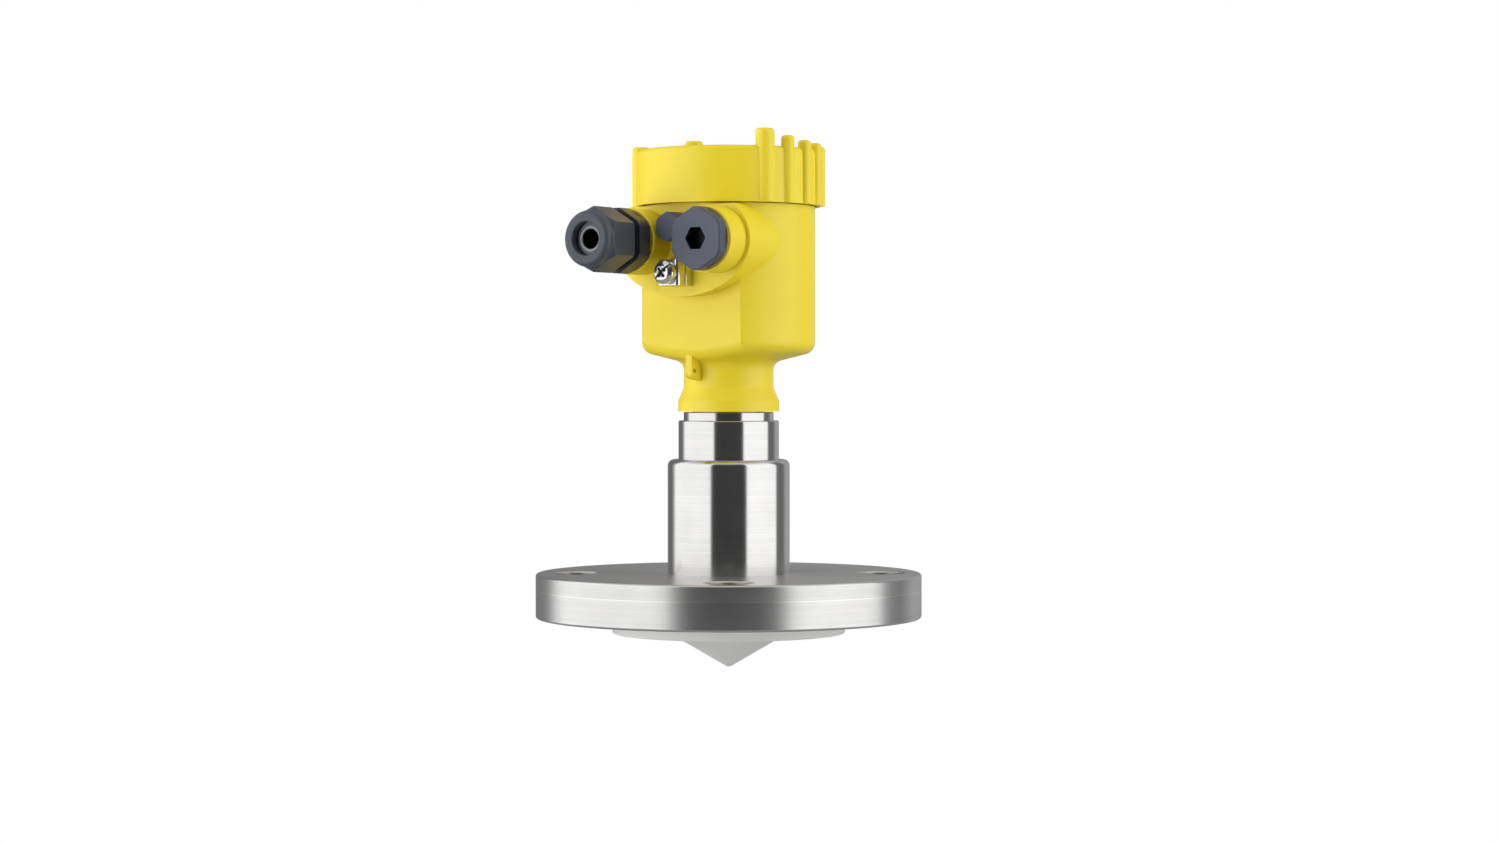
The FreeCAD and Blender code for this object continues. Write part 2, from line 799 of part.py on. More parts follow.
# Small ear under the chamber with a hole for a seal wire
def seal_lug(body):
    sketch = new_sketch(body, "lug_outline", "YZ_Plane", size("lug_x"))
    neck_r = size("neck_d") / 2
    root_r = neck_r - size("cut_past")
    top = underside_in + size("lug_root_rise")
    bottom = underside_in - size("lug_drop")
    outline(sketch, [
        (-root_r, bottom), (-neck_r, bottom),
        (-size("lug_out"), bottom + size("lug_slope"), size("lug_round")),
        (-size("lug_out"), top), (-root_r, top)])
    pad(body, sketch, size("lug_thick"), "seal_lug", both=True)
    hole = new_sketch(body, "lug_hole_outline", "YZ_Plane", size("lug_x"))
    middle = size("lug_out") - size("lug_hole_in")
    circle(hole, size("lug_hole_d") / 2, -middle, bottom + size("lug_hole_rise"))
    pocket(body, hole, size("lug_thick") + size("cut_past"), "lug_hole", both=True)


def hollow_head(body):
    cavity = new_sketch(body, "cavity_outline", "XY_Plane", rim_top)
    flatted_circle(cavity, cavity_r, cavity_flat)
    pocket(body, cavity, rim_top - floor_level, "cavity")
    pocket_r = size("ring_outer_d") / 2 + size("ring_room")
    centre_hole(body, pocket_r, floor_level, size("ring_pocket_deep"), "ring_pocket")
    centre_hole(body, journal_r + size("turn_gap"), ring_shelf, ring_shelf - foot_bottom, "journal_bore")
    places = [(size("entry_x"), entry_level), (-size("entry_x"), entry_level)]
    drill(body, places, size("entry_bore_d") / 2, boss_face, size("entry_bore_deep"), "entry_bores",
          "XZ_Plane")
    drill(body, [(0, vent_level)], size("vent_shank_d") / 2 + size("slip_gap"), size("pad_out"),
          size("pad_out") - size("pad_root"), "vent_hole", "XZ_Plane")
    drill(body, [(0, ground_level)], size("ground_bush_d") / 2, ground_face, size("ground_bush_long"),
          "bush_hole", "XZ_Plane")
    drill(body, POST_PLACES, size("module_screw_d") / 2 + size("thread_gap") / 2, floor_level,
          size("module_screw_bite") + size("slip_gap"), "module_screw_holes")


# Black insert that holds the electronics, with two posts for its screws
def make_module_cup():
    body = new_body("module_cup")
    bottom = new_sketch(body, "cup_outline", "XY_Plane", floor_level)
    flatted_circle(bottom, module_r, module_flat)
    pad(body, bottom, size("module_rise"), "cup")
    ledge = floor_level + size("board_ledge")
    upper = new_sketch(body, "board_room_outline", "XY_Plane", module_top)
    wall = size("module_wall")
    flatted_circle(upper, module_r - wall, module_flat - wall)
    pocket(body, upper, module_top - ledge, "board_room")
    lower = new_sketch(body, "lower_room_outline", "XY_Plane", ledge)
    wall = wall + size("board_ledge_wide")
    flatted_circle(lower, module_r - wall, module_flat - wall)
    pocket(body, lower, size("board_ledge") - size("module_floor"), "lower_room")
    posts = new_sketch(body, "post_outline", "XY_Plane", floor_level)
    for x, y in POST_PLACES:
        circle(posts, size("post_d") / 2, x, y)
    pad(body, posts, size("module_rise"), "posts")
    screw_holes(body, module_top, size("module_rise"))
    centre_hole(body, size("coupler_pin_d") / 2 + size("slip_gap"), floor_level + size("module_floor"),
                size("module_floor"), "coupler_hole")


def screw_holes(body, level, deep):
    drill(body, POST_PLACES, size("module_screw_d") / 2 + size("slip_gap") * 2, level, deep, "screw_holes")


def make_main_board():
    body = new_body("main_board")
    level = floor_level + size("board_ledge")
    sketch = new_sketch(body, "board_outline", "XY_Plane", level)
    edge = size("module_wall") + size("slip_gap") * 2
    flatted_circle(sketch, module_r - edge, module_flat - edge)
    pad(body, sketch, size("board_thick"), "board")
    drill(body, POST_PLACES, size("post_d") / 2 + size("slip_gap") * 2, level + size("board_thick"),
          size("board_thick"), "post_holes")


def make_module_cover():
    body = new_body("module_cover")
    sketch = new_sketch(body, "cover_outline", "XY_Plane", module_top)
    flatted_circle(sketch, module_r, module_flat)
    pad(body, sketch, size("cover_thick"), "cover")
    screw_holes(body, cover_top, size("cover_thick"))


# Two long screws that hold cover and insert down on the floor of the head
def make_module_screws():
    screws = []
    shank_long = cover_top - floor_level + size("module_screw_bite")
    for number, (x, y) in enumerate(POST_PLACES, start=1):
        body = new_body("module_screw_%d" % number)
        head_r = size("module_screw_head_d") / 2
        head = size("module_screw_head")
        turn(body, [
            (0, -shank_long), (size("module_screw_d") / 2, -shank_long), (size("module_screw_d") / 2, 0),
            (head_r, 0), (head_r, head, head / 3), (0, head)])
        slot = new_sketch(body, "slot_outline", "XY_Plane", head)
        outline(slot, rectangle(-head_r, head_r, -size("terminal_slot") / 2, size("terminal_slot") / 2))
        pocket(body, slot, size("terminal_slot_deep"), "slot")
        bind(body, "Placement.Base.x", x)
        bind(body, "Placement.Base.y", y)
        bind(body, "Placement.Base.z", cover_top)
        screws.append(body)
    group("module_screws", screws)


# Coupling piece that hangs from the insert around the end of the waveguide
def make_waveguide_coupler():
    outer = size("coupler_d") / 2
    inner = waveguide_r + size("waveguide_gap")
    bottom = floor_level - size("coupler_long")
    roof = floor_level - size("coupler_roof")
    pin = size("coupler_pin_d") / 2
    turn(new_body("waveguide_coupler"), [
        (throat_r, roof), (inner, roof), (inner, bottom), (outer, bottom), (outer, floor_level),
        (pin, floor_level), (pin, floor_level + size("module_floor")),
        (throat_r, floor_level + size("module_floor"))])


def terminal_places():
    count = int(SIZES["terminal_count"])
    return [size("terminal_step") * (number - (count - 1) / 2) for number in range(count)]


# Row of screw clamps with a wire mouth in front of each
def make_terminal_block():
    body = new_body("terminal_block")
    half_wide = size("terminal_step") * size("terminal_count") / 2
    half_deep = size("terminal_deep") / 2
    front = size("terminal_y") - half_deep
    base = new_sketch(body, "block_outline", "XY_Plane", cover_top)
    outline(base, rectangle(-half_wide, half_wide, front, front + size("terminal_deep")))
    pad(body, base, size("terminal_rise"), "block")
    top = cover_top + size("terminal_rise")
    places = [(x, size("terminal_y")) for x in terminal_places()]
    drill(body, places, size("terminal_pit_d") / 2, top, size("terminal_pit_deep"), "screw_pits")
    mouths = new_sketch(body, "mouth_outline", "XZ_Plane", -front)
    half = size("terminal_mouth") / 2
    sill = cover_top + size("terminal_sill")
    for x in terminal_places():
        outline(mouths, rectangle(x - half, x + half, sill, sill + size("terminal_mouth")))
    pocket(body, mouths, size("terminal_mouth_deep"), "wire_mouths")


def make_terminal_screws():
    screws = []
    pit_floor = cover_top + size("terminal_rise") - size("terminal_pit_deep")
    screw_r = size("terminal_screw_d") / 2
    for number, x in enumerate(terminal_places(), start=1):
        body = new_body("terminal_screw_%d" % number)
        turn(body, rectangle(0, screw_r, 0, size("terminal_screw_tall")))
        slot = new_sketch(body, "slot_outline", "XY_Plane", size("terminal_screw_tall"))
        half = size("terminal_slot") / 2
        outline(slot, rectangle(-screw_r, screw_r, -half, half))
        pocket(body, slot, size("terminal_slot_deep"), "slot")
        bind(body, "Placement.Base.x", x)
        bind(body, "Placement.Base.y", size("terminal_y"))
        bind(body, "Placement.Base.z", pit_floor)
        screws.append(body)
    group("terminal_screws", screws)


# Flat sealing ring under the plug or the gland
def make_gasket(label, x):
    body = new_body(label)
    turn(body, rectangle(shank_r + size("slip_gap"), size("gasket_d") / 2, 0, size("gasket_thick")))
    face_front(body, x, boss_face, entry_level)


# Screw plug with a hexagon head, its corners cut off, and a hexagon socket
def make_blind_plug():
    body = new_body("blind_plug")
    corner_r = size("plug_across") / 2 / math.cos(math.pi / 6)
    base = size("gasket_thick")
    top = base + size("plug_head")
    chamfer = size("plug_chamfer")
    turn(body, [
        (0, -size("plug_shank_long")), (shank_r, -size("plug_shank_long")), (shank_r, base),
        (corner_r, base), (corner_r, top), (0, top)])
    corners = trimmed_hexagon(size("plug_across"), size("plug_over_corners"))
    hexagon = cut_flats(body, corners, corner_r * 2, top, size("plug_head"), "flats")
    dress(body, hexagon, chamfer,
          lambda edge: isinstance(edge.Curve, Part.Line) and edge.BoundBox.ZMin > top.number - 0.01,
          "head_chamfer", "PartDesign::Chamfer")
    socket = new_sketch(body, "socket_outline", "XY_Plane", top)
    outline(socket, polygon(6, size("socket_across"), 0))
    pocket(body, socket, size("socket_deep"), "socket")
    face_front(body, size("entry_x"), boss_face, entry_level)


# Gland body: shank, hexagon and the threaded neck that the nut turns on
def make_gland_body():
    body = new_body("gland_body")
    corner_r = size("gland_across") / 2 / math.cos(math.pi / 6)
    base = size("gasket_thick")
    top = base + size("gland_head")
    neck_r = size("gland_neck_d") / 2
    neck_top = top + size("gland_neck_long")
    seat_r = size("gland_seat_d") / 2
    bore_r = size("gland_bore_d") / 2
    seat_floor = neck_top - size("gland_seat_deep")
    bottom = -size("gland_shank_long")
    turn(body, [
        (bore_r, bottom), (shank_r, bottom), (shank_r, base), (corner_r, base), (corner_r, top),
        (neck_r, top), (neck_r, neck_top), (seat_r, neck_top), (seat_r, seat_floor), (bore_r, seat_floor)])
    corners = trimmed_hexagon(size("gland_across"), size("gland_over_corners"))
    cut_flats(body, corners, corner_r * 2, top, size("gland_head"), "flats")
    face_front(body, -size("entry_x"), boss_face, entry_level)


def grip_floor():
    neck_top = size("gasket_thick") + size("gland_head") + size("gland_neck_long")
    return neck_top - size("gland_seat_deep") + size("face_gap")


def cage_outer():
    return size("gland_seat_d") / 2 - size("face_gap")


# Domed nut that squeezes the seal around the cable
def make_gland_nut():
    body = new_body("gland_nut")
    start = size("nut_start")
    hex_top = start + size("nut_hex_long")
    face = start + size("nut_long")
    corner_r = size("nut_across") / 2 / math.cos(math.pi / 6)
    nose_r = size("nut_nose_d") / 2
    bore_r = size("gland_neck_d") / 2 + size("slip_gap") + size("turn_gap")
    cage_room = cage_outer() + size("face_gap")
    mouth_r = size("nut_mouth_d") / 2
    edge = size("nut_edge")
    lip = face - size("nut_lip")
    neck_top = size("gasket_thick") + size("gland_head") + size("gland_neck_long") + size("face_gap") * 2
    turn(body, [
        (bore_r, start), (corner_r - edge, start), (corner_r, start + edge),
        (corner_r, hex_top - size("nut_chamfer")), (nose_r, hex_top),
        (nose_r, face, size("nut_nose_round")), (mouth_r, face, size("nut_mouth_round")), (mouth_r, lip),
        (cage_room, lip), (cage_room, neck_top), (bore_r, neck_top)])
    corners = polygon(6, size("nut_across"), 30)
    cut_flats(body, corners, corner_r * 2, hex_top, size("nut_hex_long"), "flats")
    face_front(body, -size("entry_x"), boss_face, entry_level)


# Ring of plastic fingers around the seal
def make_gland_cage():
    body = new_body("gland_cage")
    outer = cage_outer()
    inner = outer - size("cage_wall")
    floor = grip_floor()
    top = floor + size("grip_long")
    turn(body, rectangle(inner, outer, floor, top))
    slots = new_sketch(body, "slot_outline", "XZ_Plane")
    half = size("cage_slot_wide") / 2
    outline(slots, rectangle(-half, half, floor + size("cage_ring"), top + size("cut_past")))
    cut = pocket(body, slots, outer + size("cut_past"), "slot")
    pattern = body.newObject("PartDesign::PolarPattern", "slots")
    pattern.Originals = [cut]
    axes = [item for item in body.Origin.OriginFeatures if item.Role == "Z_Axis"]
    pattern.Axis = (axes[0], [""])
    pattern.Angle = 360
    bind(pattern, "Occurrences", size("cage_slots"))
    body.Tip = pattern
    face_front(body, -size("entry_x"), boss_face, entry_level)


def make_gland_seal():
    body = new_body("gland_seal")
    outer = cage_outer() - size("cage_wall")
    floor = grip_floor()
    turn(body, rectangle(grip_hole_r, outer, floor, floor + size("grip_long")))
    face_front(body, -size("entry_x"), boss_face, entry_level)


# Breather between the entries, a hexagon with its corners cut off
def make_vent_cap():
    body = new_body("vent_cap")
    top = size("vent_tall")
    corner_r = size("vent_across") / 2 / math.cos(math.pi / 6)
    shank = size("vent_shank_d") / 2
    bottom = -size("vent_shank_long")
    bore = size("vent_bore_d") / 2
    seat = size("vent_seat_d") / 2
    seat_roof = bottom + size("membrane_thick")
    turn(body, [
        (seat, bottom), (shank, bottom), (shank, 0), (corner_r, 0), (corner_r, top), (0, top),
        (0, size("vent_tall") / 2), (bore, size("vent_tall") / 2), (bore, seat_roof), (seat, seat_roof)])
    corners = trimmed_hexagon(size("vent_across"), size("vent_over_corners"))
    hexagon = cut_flats(body, corners, corner_r * 2, top, size("vent_tall"), "flats")
    dress(body, hexagon, size("vent_chamfer"),
          lambda edge: isinstance(edge.Curve, Part.Line) and edge.BoundBox.ZMin > top.number - 0.01,
          "cap_chamfer", "PartDesign::Chamfer")
    face_front(body, 0, size("pad_out"), vent_level)


def make_vent_membrane():
    body = new_body("vent_membrane")
    bottom = -size("vent_shank_long")
    film_r = size("vent_seat_d") / 2 - size("slip_gap")
    turn(body, rectangle(0, film_r, bottom, bottom + size("membrane_thick")))
    face_front(body, 0, size("pad_out"), vent_level)


# Threaded insert that the earth screw turns in
def make_ground_bush():
    body = new_body("ground_bush")
    inner = size("ground_screw_d") / 2 + size("thread_gap")
    outer = size("ground_bush_d") / 2
    turn(body, rectangle(inner, outer, -size("ground_bush_long"), 0))
    face_front(body, 0, ground_face, ground_level)


def clamp_back():
    return ground_face + size("face_gap")


# Folded clamp plate, a saddle with two short legs
def make_ground_clamp():
    body = new_body("ground_clamp")
    sketch = new_sketch(body, "saddle_outline", "XY_Plane")
    half = size("clamp_wide") / 2
    inner = half - size("clamp_sheet")
    deep = size("clamp_deep")
    roof = deep - size("clamp_sheet")
    bend = size("clamp_round")
    inside = bend - size("clamp_sheet")
    outline(sketch, [
        (-half, 0), (-inner, 0), (-inner, -roof, inside), (inner, -roof, inside), (inner, 0), (half, 0),
        (half, -deep, bend), (-half, -deep, bend)])
    pad(body, sketch, size("clamp_tall"), "saddle", both=True)
    drill(body, [(0, 0)], size("ground_screw_d") / 2 + size("face_gap"), deep,
          size("clamp_sheet") + size("cut_past"), "screw_hole", "XZ_Plane")
    bind(body, "Placement.Base.y", -clamp_back())
    bind(body, "Placement.Base.z", ground_level)


def make_ground_washer():
    body = new_body("ground_washer")
    inner = size("ground_screw_d") / 2 + size("face_gap")
    turn(body, rectangle(inner, size("washer_d") / 2, 0, size("washer_thick")))
    face_front(body, 0, clamp_back() + size("clamp_deep"), ground_level)


# Pan head screw with a crossed slot
def make_ground_screw():
    body = new_body("ground_screw")
    head_r = size("ground_head_d") / 2
    tall = size("ground_head_tall")
    gap = size("face_gap") / 3
    shank = size("ground_screw_d") / 2
    turn(body, [
        (0, -size("ground_screw_long")), (shank, -size("ground_screw_long")), (shank, gap), (head_r, gap),
        (head_r, tall, size("ground_head_round")), (0, tall)])
    half = size("ground_slot") / 2
    for number, angle in enumerate((0, 90), start=1):
        slot = new_sketch(body, "slot_%d_outline" % number, "XY_Plane", tall)
        reach = size("ground_cross") / 2 if angle else head_r
        corners = rectangle(-reach, reach, -half, half)
        if angle:
            corners = rectangle(-half, half, -reach, reach)
        outline(slot, corners)
        pocket(body, slot, size("ground_slot_deep"), "slot_%d" % number)
    face_front(body, 0, clamp_back() + size("clamp_deep") + size("washer_thick"), ground_level)


# Half width, distance from the axis and direction of each rib in one of the two groups
def rib_places(half_turn):
    places = []
    for number in range(5):
        half_wide = (size("rib_narrow") if number else size("rib_wide")) / 2
        angle = size("rib_start") + size("rib_step") * number + half_turn
        places.append((half_wide, size("lid_rib_d") / 2 - half_wide, angle))
    return places


# Corners of the web that joins a rib to the lid's wall
def rib_root(half_wide, centre_r, angle):
    corners = rectangle(rim_r - half_wide * 2, centre_r, -half_wide, half_wide)
    return [spun(out, side, angle) for out, side in corners]


# Screw lid with two groups of five rounded ribs
def make_lid():
    body = new_body("lid")
    lid_r = size("lid_d") / 2
    turn(body, [
        (0, lid_bottom), (lid_r, lid_bottom), (lid_r - size("lid_draft"), lid_top, size("lid_round")),
        (0, lid_top)])
    roots = new_sketch(body, "rib_root_outline", "XY_Plane", lid_bottom)
    for half_wide, centre_r, angle in rib_places(0) + rib_places(180):
        outline(roots, rib_root(half_wide, centre_r, angle))
    pad(body, roots, lid_top - size("lid_round") - lid_bottom, "rib_roots")
    tops = []
    for number in range(5):
        rise = lid_top + size("rib_top_%d" % (number + 1))
        sketch = new_sketch(body, "rib_%d_outline" % (number + 1), "XY_Plane", lid_bottom)
        for half_turn in (0, 180):
            half_wide, centre_r, angle = rib_places(half_turn)[number]
            circle(sketch, half_wide, *spun(centre_r, as_size(0), angle))
        ribs = pad(body, sketch, rise - lid_bottom, "rib_%d" % (number + 1))
        tops.append((half_wide, rise))
    dress(body, ribs, size("rib_round"),
          lambda edge: any(is_round(edge, radius, level) for radius, level in tops), "rib_rounds")
    inner = rim_r + size("lid_gap")
    seal_room = rim_r + size("lid_gap") + size("lid_seal_wire") + size("seal_gap")
    seal_roof = lid_bottom + size("lid_seal_wire") + size("face_gap")
    below = lid_bottom - size("cut_past")
    groove(body, [
        (0, below), (seal_room, below), (seal_room, seal_roof), (inner, seal_roof),
        (inner, lid_ceiling), (0, lid_ceiling)], "inside")


def make_lid_seal():
    wire_r = size("lid_seal_wire") / 2
    ring_r = rim_r + size("lid_gap") + wire_r
    torus("lid_seal", ring_r, wire_r, lid_bottom + wire_r)


def make_all():
    make_flange()
    make_neck_sleeve()
    make_neck_adapter()
    make_antenna_horn()
    make_antenna_lens()
    make_lens_seal()
    make_waveguide_tube()
    make_swivel_seals()
    make_retaining_ring()
    make_housing()
    make_module_cup()
    make_main_board()
    make_module_cover()
    make_module_screws()
    make_waveguide_coupler()
    make_terminal_block()
    make_terminal_screws()
    make_gasket("plug_gasket", size("entry_x"))
    make_gasket("gland_gasket", -size("entry_x"))
    make_blind_plug()
    make_gland_body()
    make_gland_nut()
    make_gland_cage()
    make_gland_seal()
    make_vent_cap()
    make_vent_membrane()
    make_ground_bush()
    make_ground_clamp()
    make_ground_washer()
    make_ground_screw()
    make_lid()
    make_lid_seal()


NODES = [
    "flange", "neck_sleeve", "neck_adapter", "antenna_horn", "antenna_lens", "lens_seal", "waveguide_tube",
    "swivel_seals", "retaining_ring", "housing", "module_cup", "main_board", "module_cover", "module_screws",
    "waveguide_coupler", "terminal_block", "terminal_screws", "plug_gasket", "gland_gasket", "blind_plug",
    "gland_body", "gland_nut", "gland_cage", "gland_seal", "vent_cap", "vent_membrane", "ground_bush",
    "ground_clamp", "ground_washer", "ground_screw", "lid", "lid_seal"]


def check_objects():
    for item in doc.Objects:
        if "Invalid" in item.State or "Error" in item.State:
            raise RuntimeError("failed object: " + item.Label)
    for name in NODES:
        shape = doc.getObject(name).Shape
        if shape.isNull() or not shape.isValid() or not shape.Solids:
            raise RuntimeError("bad shape: " + name)


def write_parts():
    os.makedirs("parts", exist_ok=True)
    for name in NODES:
        doc.getObject(name).Shape.exportStep(os.path.join("parts", name + ".step"))


fill_sheet()
make_all()
doc.recompute()
check_objects()
write_parts()
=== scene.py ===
import json
import math

import bmesh
import bpy
from mathutils import Matrix, Vector


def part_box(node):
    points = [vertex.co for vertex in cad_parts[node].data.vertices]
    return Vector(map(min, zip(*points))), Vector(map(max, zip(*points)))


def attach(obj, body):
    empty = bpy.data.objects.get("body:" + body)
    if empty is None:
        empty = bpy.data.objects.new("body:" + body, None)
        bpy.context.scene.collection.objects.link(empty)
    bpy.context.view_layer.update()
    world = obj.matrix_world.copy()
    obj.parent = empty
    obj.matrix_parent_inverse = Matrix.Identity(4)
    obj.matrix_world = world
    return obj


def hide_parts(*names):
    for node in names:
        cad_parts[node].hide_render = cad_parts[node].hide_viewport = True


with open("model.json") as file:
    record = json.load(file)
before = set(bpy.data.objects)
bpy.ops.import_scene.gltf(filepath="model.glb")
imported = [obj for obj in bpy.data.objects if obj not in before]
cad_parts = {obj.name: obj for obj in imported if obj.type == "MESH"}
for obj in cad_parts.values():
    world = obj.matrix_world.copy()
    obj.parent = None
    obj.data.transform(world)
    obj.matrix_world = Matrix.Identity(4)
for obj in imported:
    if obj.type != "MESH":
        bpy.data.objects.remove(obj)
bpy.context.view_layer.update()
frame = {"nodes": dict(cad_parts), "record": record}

MM = 0.001

# The camera of the photograph, in metres. It looks along the line that is 35 degrees round from +Y.
VIEW_TURN = 35.0
CAMERA_FAR = 1.186
CAMERA_HIGH = 0.0914
FOCAL_MM = 72.0
SENSOR_MM = 36.0
PHOTO_WIDE = 1500
PHOTO_TALL = 844
AXIS_PIXEL = 728.7
HORIZON_PIXEL = 386.0

# The floor, in metres, well below the antenna's tip
FLOOR_LEVEL = -0.1604
FLOOR_HALF = 0.55

# Every size from here on is in millimetres, up to the studio
ENTRY_OUT = 42.5
ENTRY_X = 18.0
ENTRY_LEVEL = 147.4
PAD_OUT = 32.0
SCREW_OUT = 42.0
SCREW_LEVEL = 135.0
PLUG_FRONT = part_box("blind_plug")[0][1] / MM
PLUG_SOCKET_R = 4.9
SEAL_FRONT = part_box("gland_seal")[0][1] / MM
SEAL_HOLE_R = 4.1


def linear(red, green, blue):
    """A screen colour, 0 to 255, as linear light."""
    shares = [channel / 255 for channel in (red, green, blue)]
    return tuple(s / 12.92 if s <= 0.04045 else ((s + 0.055) / 1.055) ** 2.4 for s in shares) + (1.0,)


def grey(level):
    return (level, level, level, 1.0)


class Amount:
    """A node's output, so that sums on it are written as Python expressions."""

    def __init__(self, finish, socket):
        self.finish = finish
        self.socket = socket

    def sum(self, operation, first, second):
        return self.finish.node("ShaderNodeMath", {"operation": operation}, {0: first, 1: second})

    def __add__(self, other):
        return self.sum("ADD", self, other)

    def __radd__(self, other):
        return self.sum("ADD", other, self)

    def __sub__(self, other):
        return self.sum("SUBTRACT", self, other)

    def __rsub__(self, other):
        return self.sum("SUBTRACT", other, self)

    def __mul__(self, other):
        return self.sum("MULTIPLY", self, other)

    def __rmul__(self, other):
        return self.sum("MULTIPLY", other, self)

    def __pow__(self, other):
        return self.sum("POWER", self, other)


# Painted shade inside deep holes: how soft its rim is, and where behind the hole's mouth the painted dark
# starts and is full
HOLE_RIM = 0.1
DARK_START = 0.2
DARK_FULL = 1.2


class Finish:
    """A material on one Principled shader, or the world's nodes."""

    def __init__(self, name, tree=None, **constants):
        self.material = None
        if tree is None:
            self.material = bpy.data.materials.new(name)
            self.material.use_nodes = True
            tree = self.material.node_tree
        self.tree = tree
        self.shader = tree.nodes.get("Principled BSDF")
        for socket, value in constants.items():
            self.shader.inputs[socket.replace("_", " ").title()].default_value = value

    def node(self, kind, settings=None, sockets=None, output=0):
        """Adds a node with its settings, then the values or links of its sockets."""
        made = self.tree.nodes.new(kind)
        for name, value in (settings or {}).items():
            if name == "stops":
                set_stops(made.color_ramp, value)
            else:
                setattr(made, name, value)
        for key, value in (sockets or {}).items():
            self.feed(made.inputs[key], value)
        return Amount(self, made.outputs[output]) if len(made.outputs) else None

    def feed(self, socket, value):
        if isinstance(value, Amount):
            self.tree.links.new(value.socket, socket)
        else:
            socket.default_value = value

    def set(self, **values):
        for name, value in values.items():
            self.feed(self.shader.inputs[name.replace("_", " ").title()], value)

    def place(self):
        return self.node("ShaderNodeTexCoord", output="Object")

    def axes(self):
        """The place's x, y and z as three amounts."""
        split = self.node("ShaderNodeSeparateXYZ", sockets={0: self.place()}).socket.node
        return [Amount(self, split.outputs[number]) for number in range(3)]

    def noise(self, vector, scale, detail):
        return self.node("ShaderNodeTexNoise", sockets={"Vector": vector, "Scale": scale, "Detail": detail})

    def ramp(self, amount, low, high, to_low=0.0, to_high=1.0):
        return self.node("ShaderNodeMapRange", sockets={
            "Value": amount, "From Min": low, "From Max": high, "To Min": to_low, "To Max": to_high})

    def blend(self, amount, first, second):
        mixed = self.node("ShaderNodeMix", {"data_type": "RGBA"}, {0: amount, 6: first, 7: second})
        return Amount(self, mixed.socket.node.outputs[2])

    def dot(self, first, second):
        return self.node("ShaderNodeVectorMath", {"operation": "DOT_PRODUCT"}, {0: first, 1: second}, "Value")

    def hole_shade_mask(self, x, level, front, radius):
        """Mask of the painted shade: 1 inside a hole that runs back from the entry face about (x, level), in
        millimetres, else 0.
        """
        across, back, high = self.axes()
        aside = across * (1 / MM) - x
        above = high * (1 / MM) - level
        away = (aside * aside + above * above) ** 0.5
        inside = self.ramp(away, radius, radius - HOLE_RIM)
        return inside * self.ramp(back * (1 / MM), front + DARK_START, front + DARK_FULL)

    def bump(self, height, deep, strength):
        self.set(Normal=self.node("ShaderNodeBump", sockets={
            "Height": height, "Distance": deep, "Strength": strength}))


def set_stops(ramp, stops):
    while len(ramp.elements) < len(stops):
        ramp.elements.new(0.5)
    for element, (position, colour) in zip(ramp.elements, stops):
        element.position = position
        element.color = colour


# Materials

# Near black, painted as the shade deep inside holes
HOLE_SHADE = linear(12, 12, 14)
STAINLESS = (0.66, 0.655, 0.65, 1.0)
SCRIBED_STEEL = (0.8, 0.8, 0.79, 1.0)
SCRIBE_LEVEL = 11.2
SCRIBE_BRIGHT_HALF = 0.1
SCRIBE_FADED_HALF = 0.22


def moulded_plastic(name, colour, shade, roughness, grain, hole=None):
    """Moulded plastic: a fine eroded grain, with colour and gloss that vary a little, and painted shade
    inside a hole if one is given.
    """
    finish = Finish(name)
    place = finish.place()
    broad = finish.noise(place, scale=45.0, detail=3.0)
    fine = finish.noise(place, scale=2600.0, detail=1.0)
    tint = finish.blend(finish.ramp(broad, 0.3, 0.7), colour, shade)
    if hole:
        # Painted shade: near black inside the hole, where little light reaches
        tint = finish.blend(finish.hole_shade_mask(*hole), tint, HOLE_SHADE)
    finish.set(Base_Color=tint)
    finish.set(Roughness=finish.ramp(broad, 0.25, 0.75, roughness - 0.03, roughness + 0.04))
    finish.bump(fine, deep=0.02 * MM, strength=grain)
    return finish.material


def turned_steel(name, colour, roughness, groove, stretch, scribed=None):
    """Turned stainless steel: fine tool marks round the axis, and a bright line scribed at one level."""
    finish = Finish(name, metallic=1.0, anisotropic=stretch, anisotropic_rotation=0.25)
    x, y, z = finish.axes()
    radius = (x * x + y * y) ** 0.5
    track = finish.node("ShaderNodeCombineXYZ", sockets={0: radius, 1: z})
    fine = finish.noise(track, scale=9000.0, detail=1.0)
    coarse = finish.noise(track, scale=1400.0, detail=2.0)
    cloud = finish.noise(finish.place(), scale=60.0, detail=3.0)
    marks = fine * 0.6 + coarse * 0.4
    worn = tuple(channel * 0.9 for channel in colour[:3]) + (1.0,)
    tint = finish.blend(finish.ramp(cloud * 0.5 + coarse * 0.5, 0.35, 0.65), colour, worn)
    if scribed is not None:
        off = z * (1 / MM) - scribed
        line = finish.ramp((off * off) ** 0.5, SCRIBE_FADED_HALF, SCRIBE_BRIGHT_HALF)
        tint = finish.blend(line, tint, SCRIBED_STEEL)
    finish.set(Base_Color=tint)
    uneven = coarse * 0.6 + cloud * 0.4
    finish.set(Roughness=finish.ramp(uneven, 0.3, 0.7, roughness - 0.03, roughness + 0.05))
    finish.bump(marks, deep=0.012 * MM, strength=groove)
    return finish.material


def bright_metal(name, colour, roughness):
    """Plated or turned metal of the small parts, a little cloudy."""
    finish = Finish(name, metallic=1.0)
    cloud = finish.noise(finish.place(), scale=400.0, detail=3.0)
    finish.set(Base_Color=colour)
    finish.set(Roughness=finish.ramp(cloud, 0.3, 0.7, roughness * 0.8, roughness * 1.25))
    return finish.material


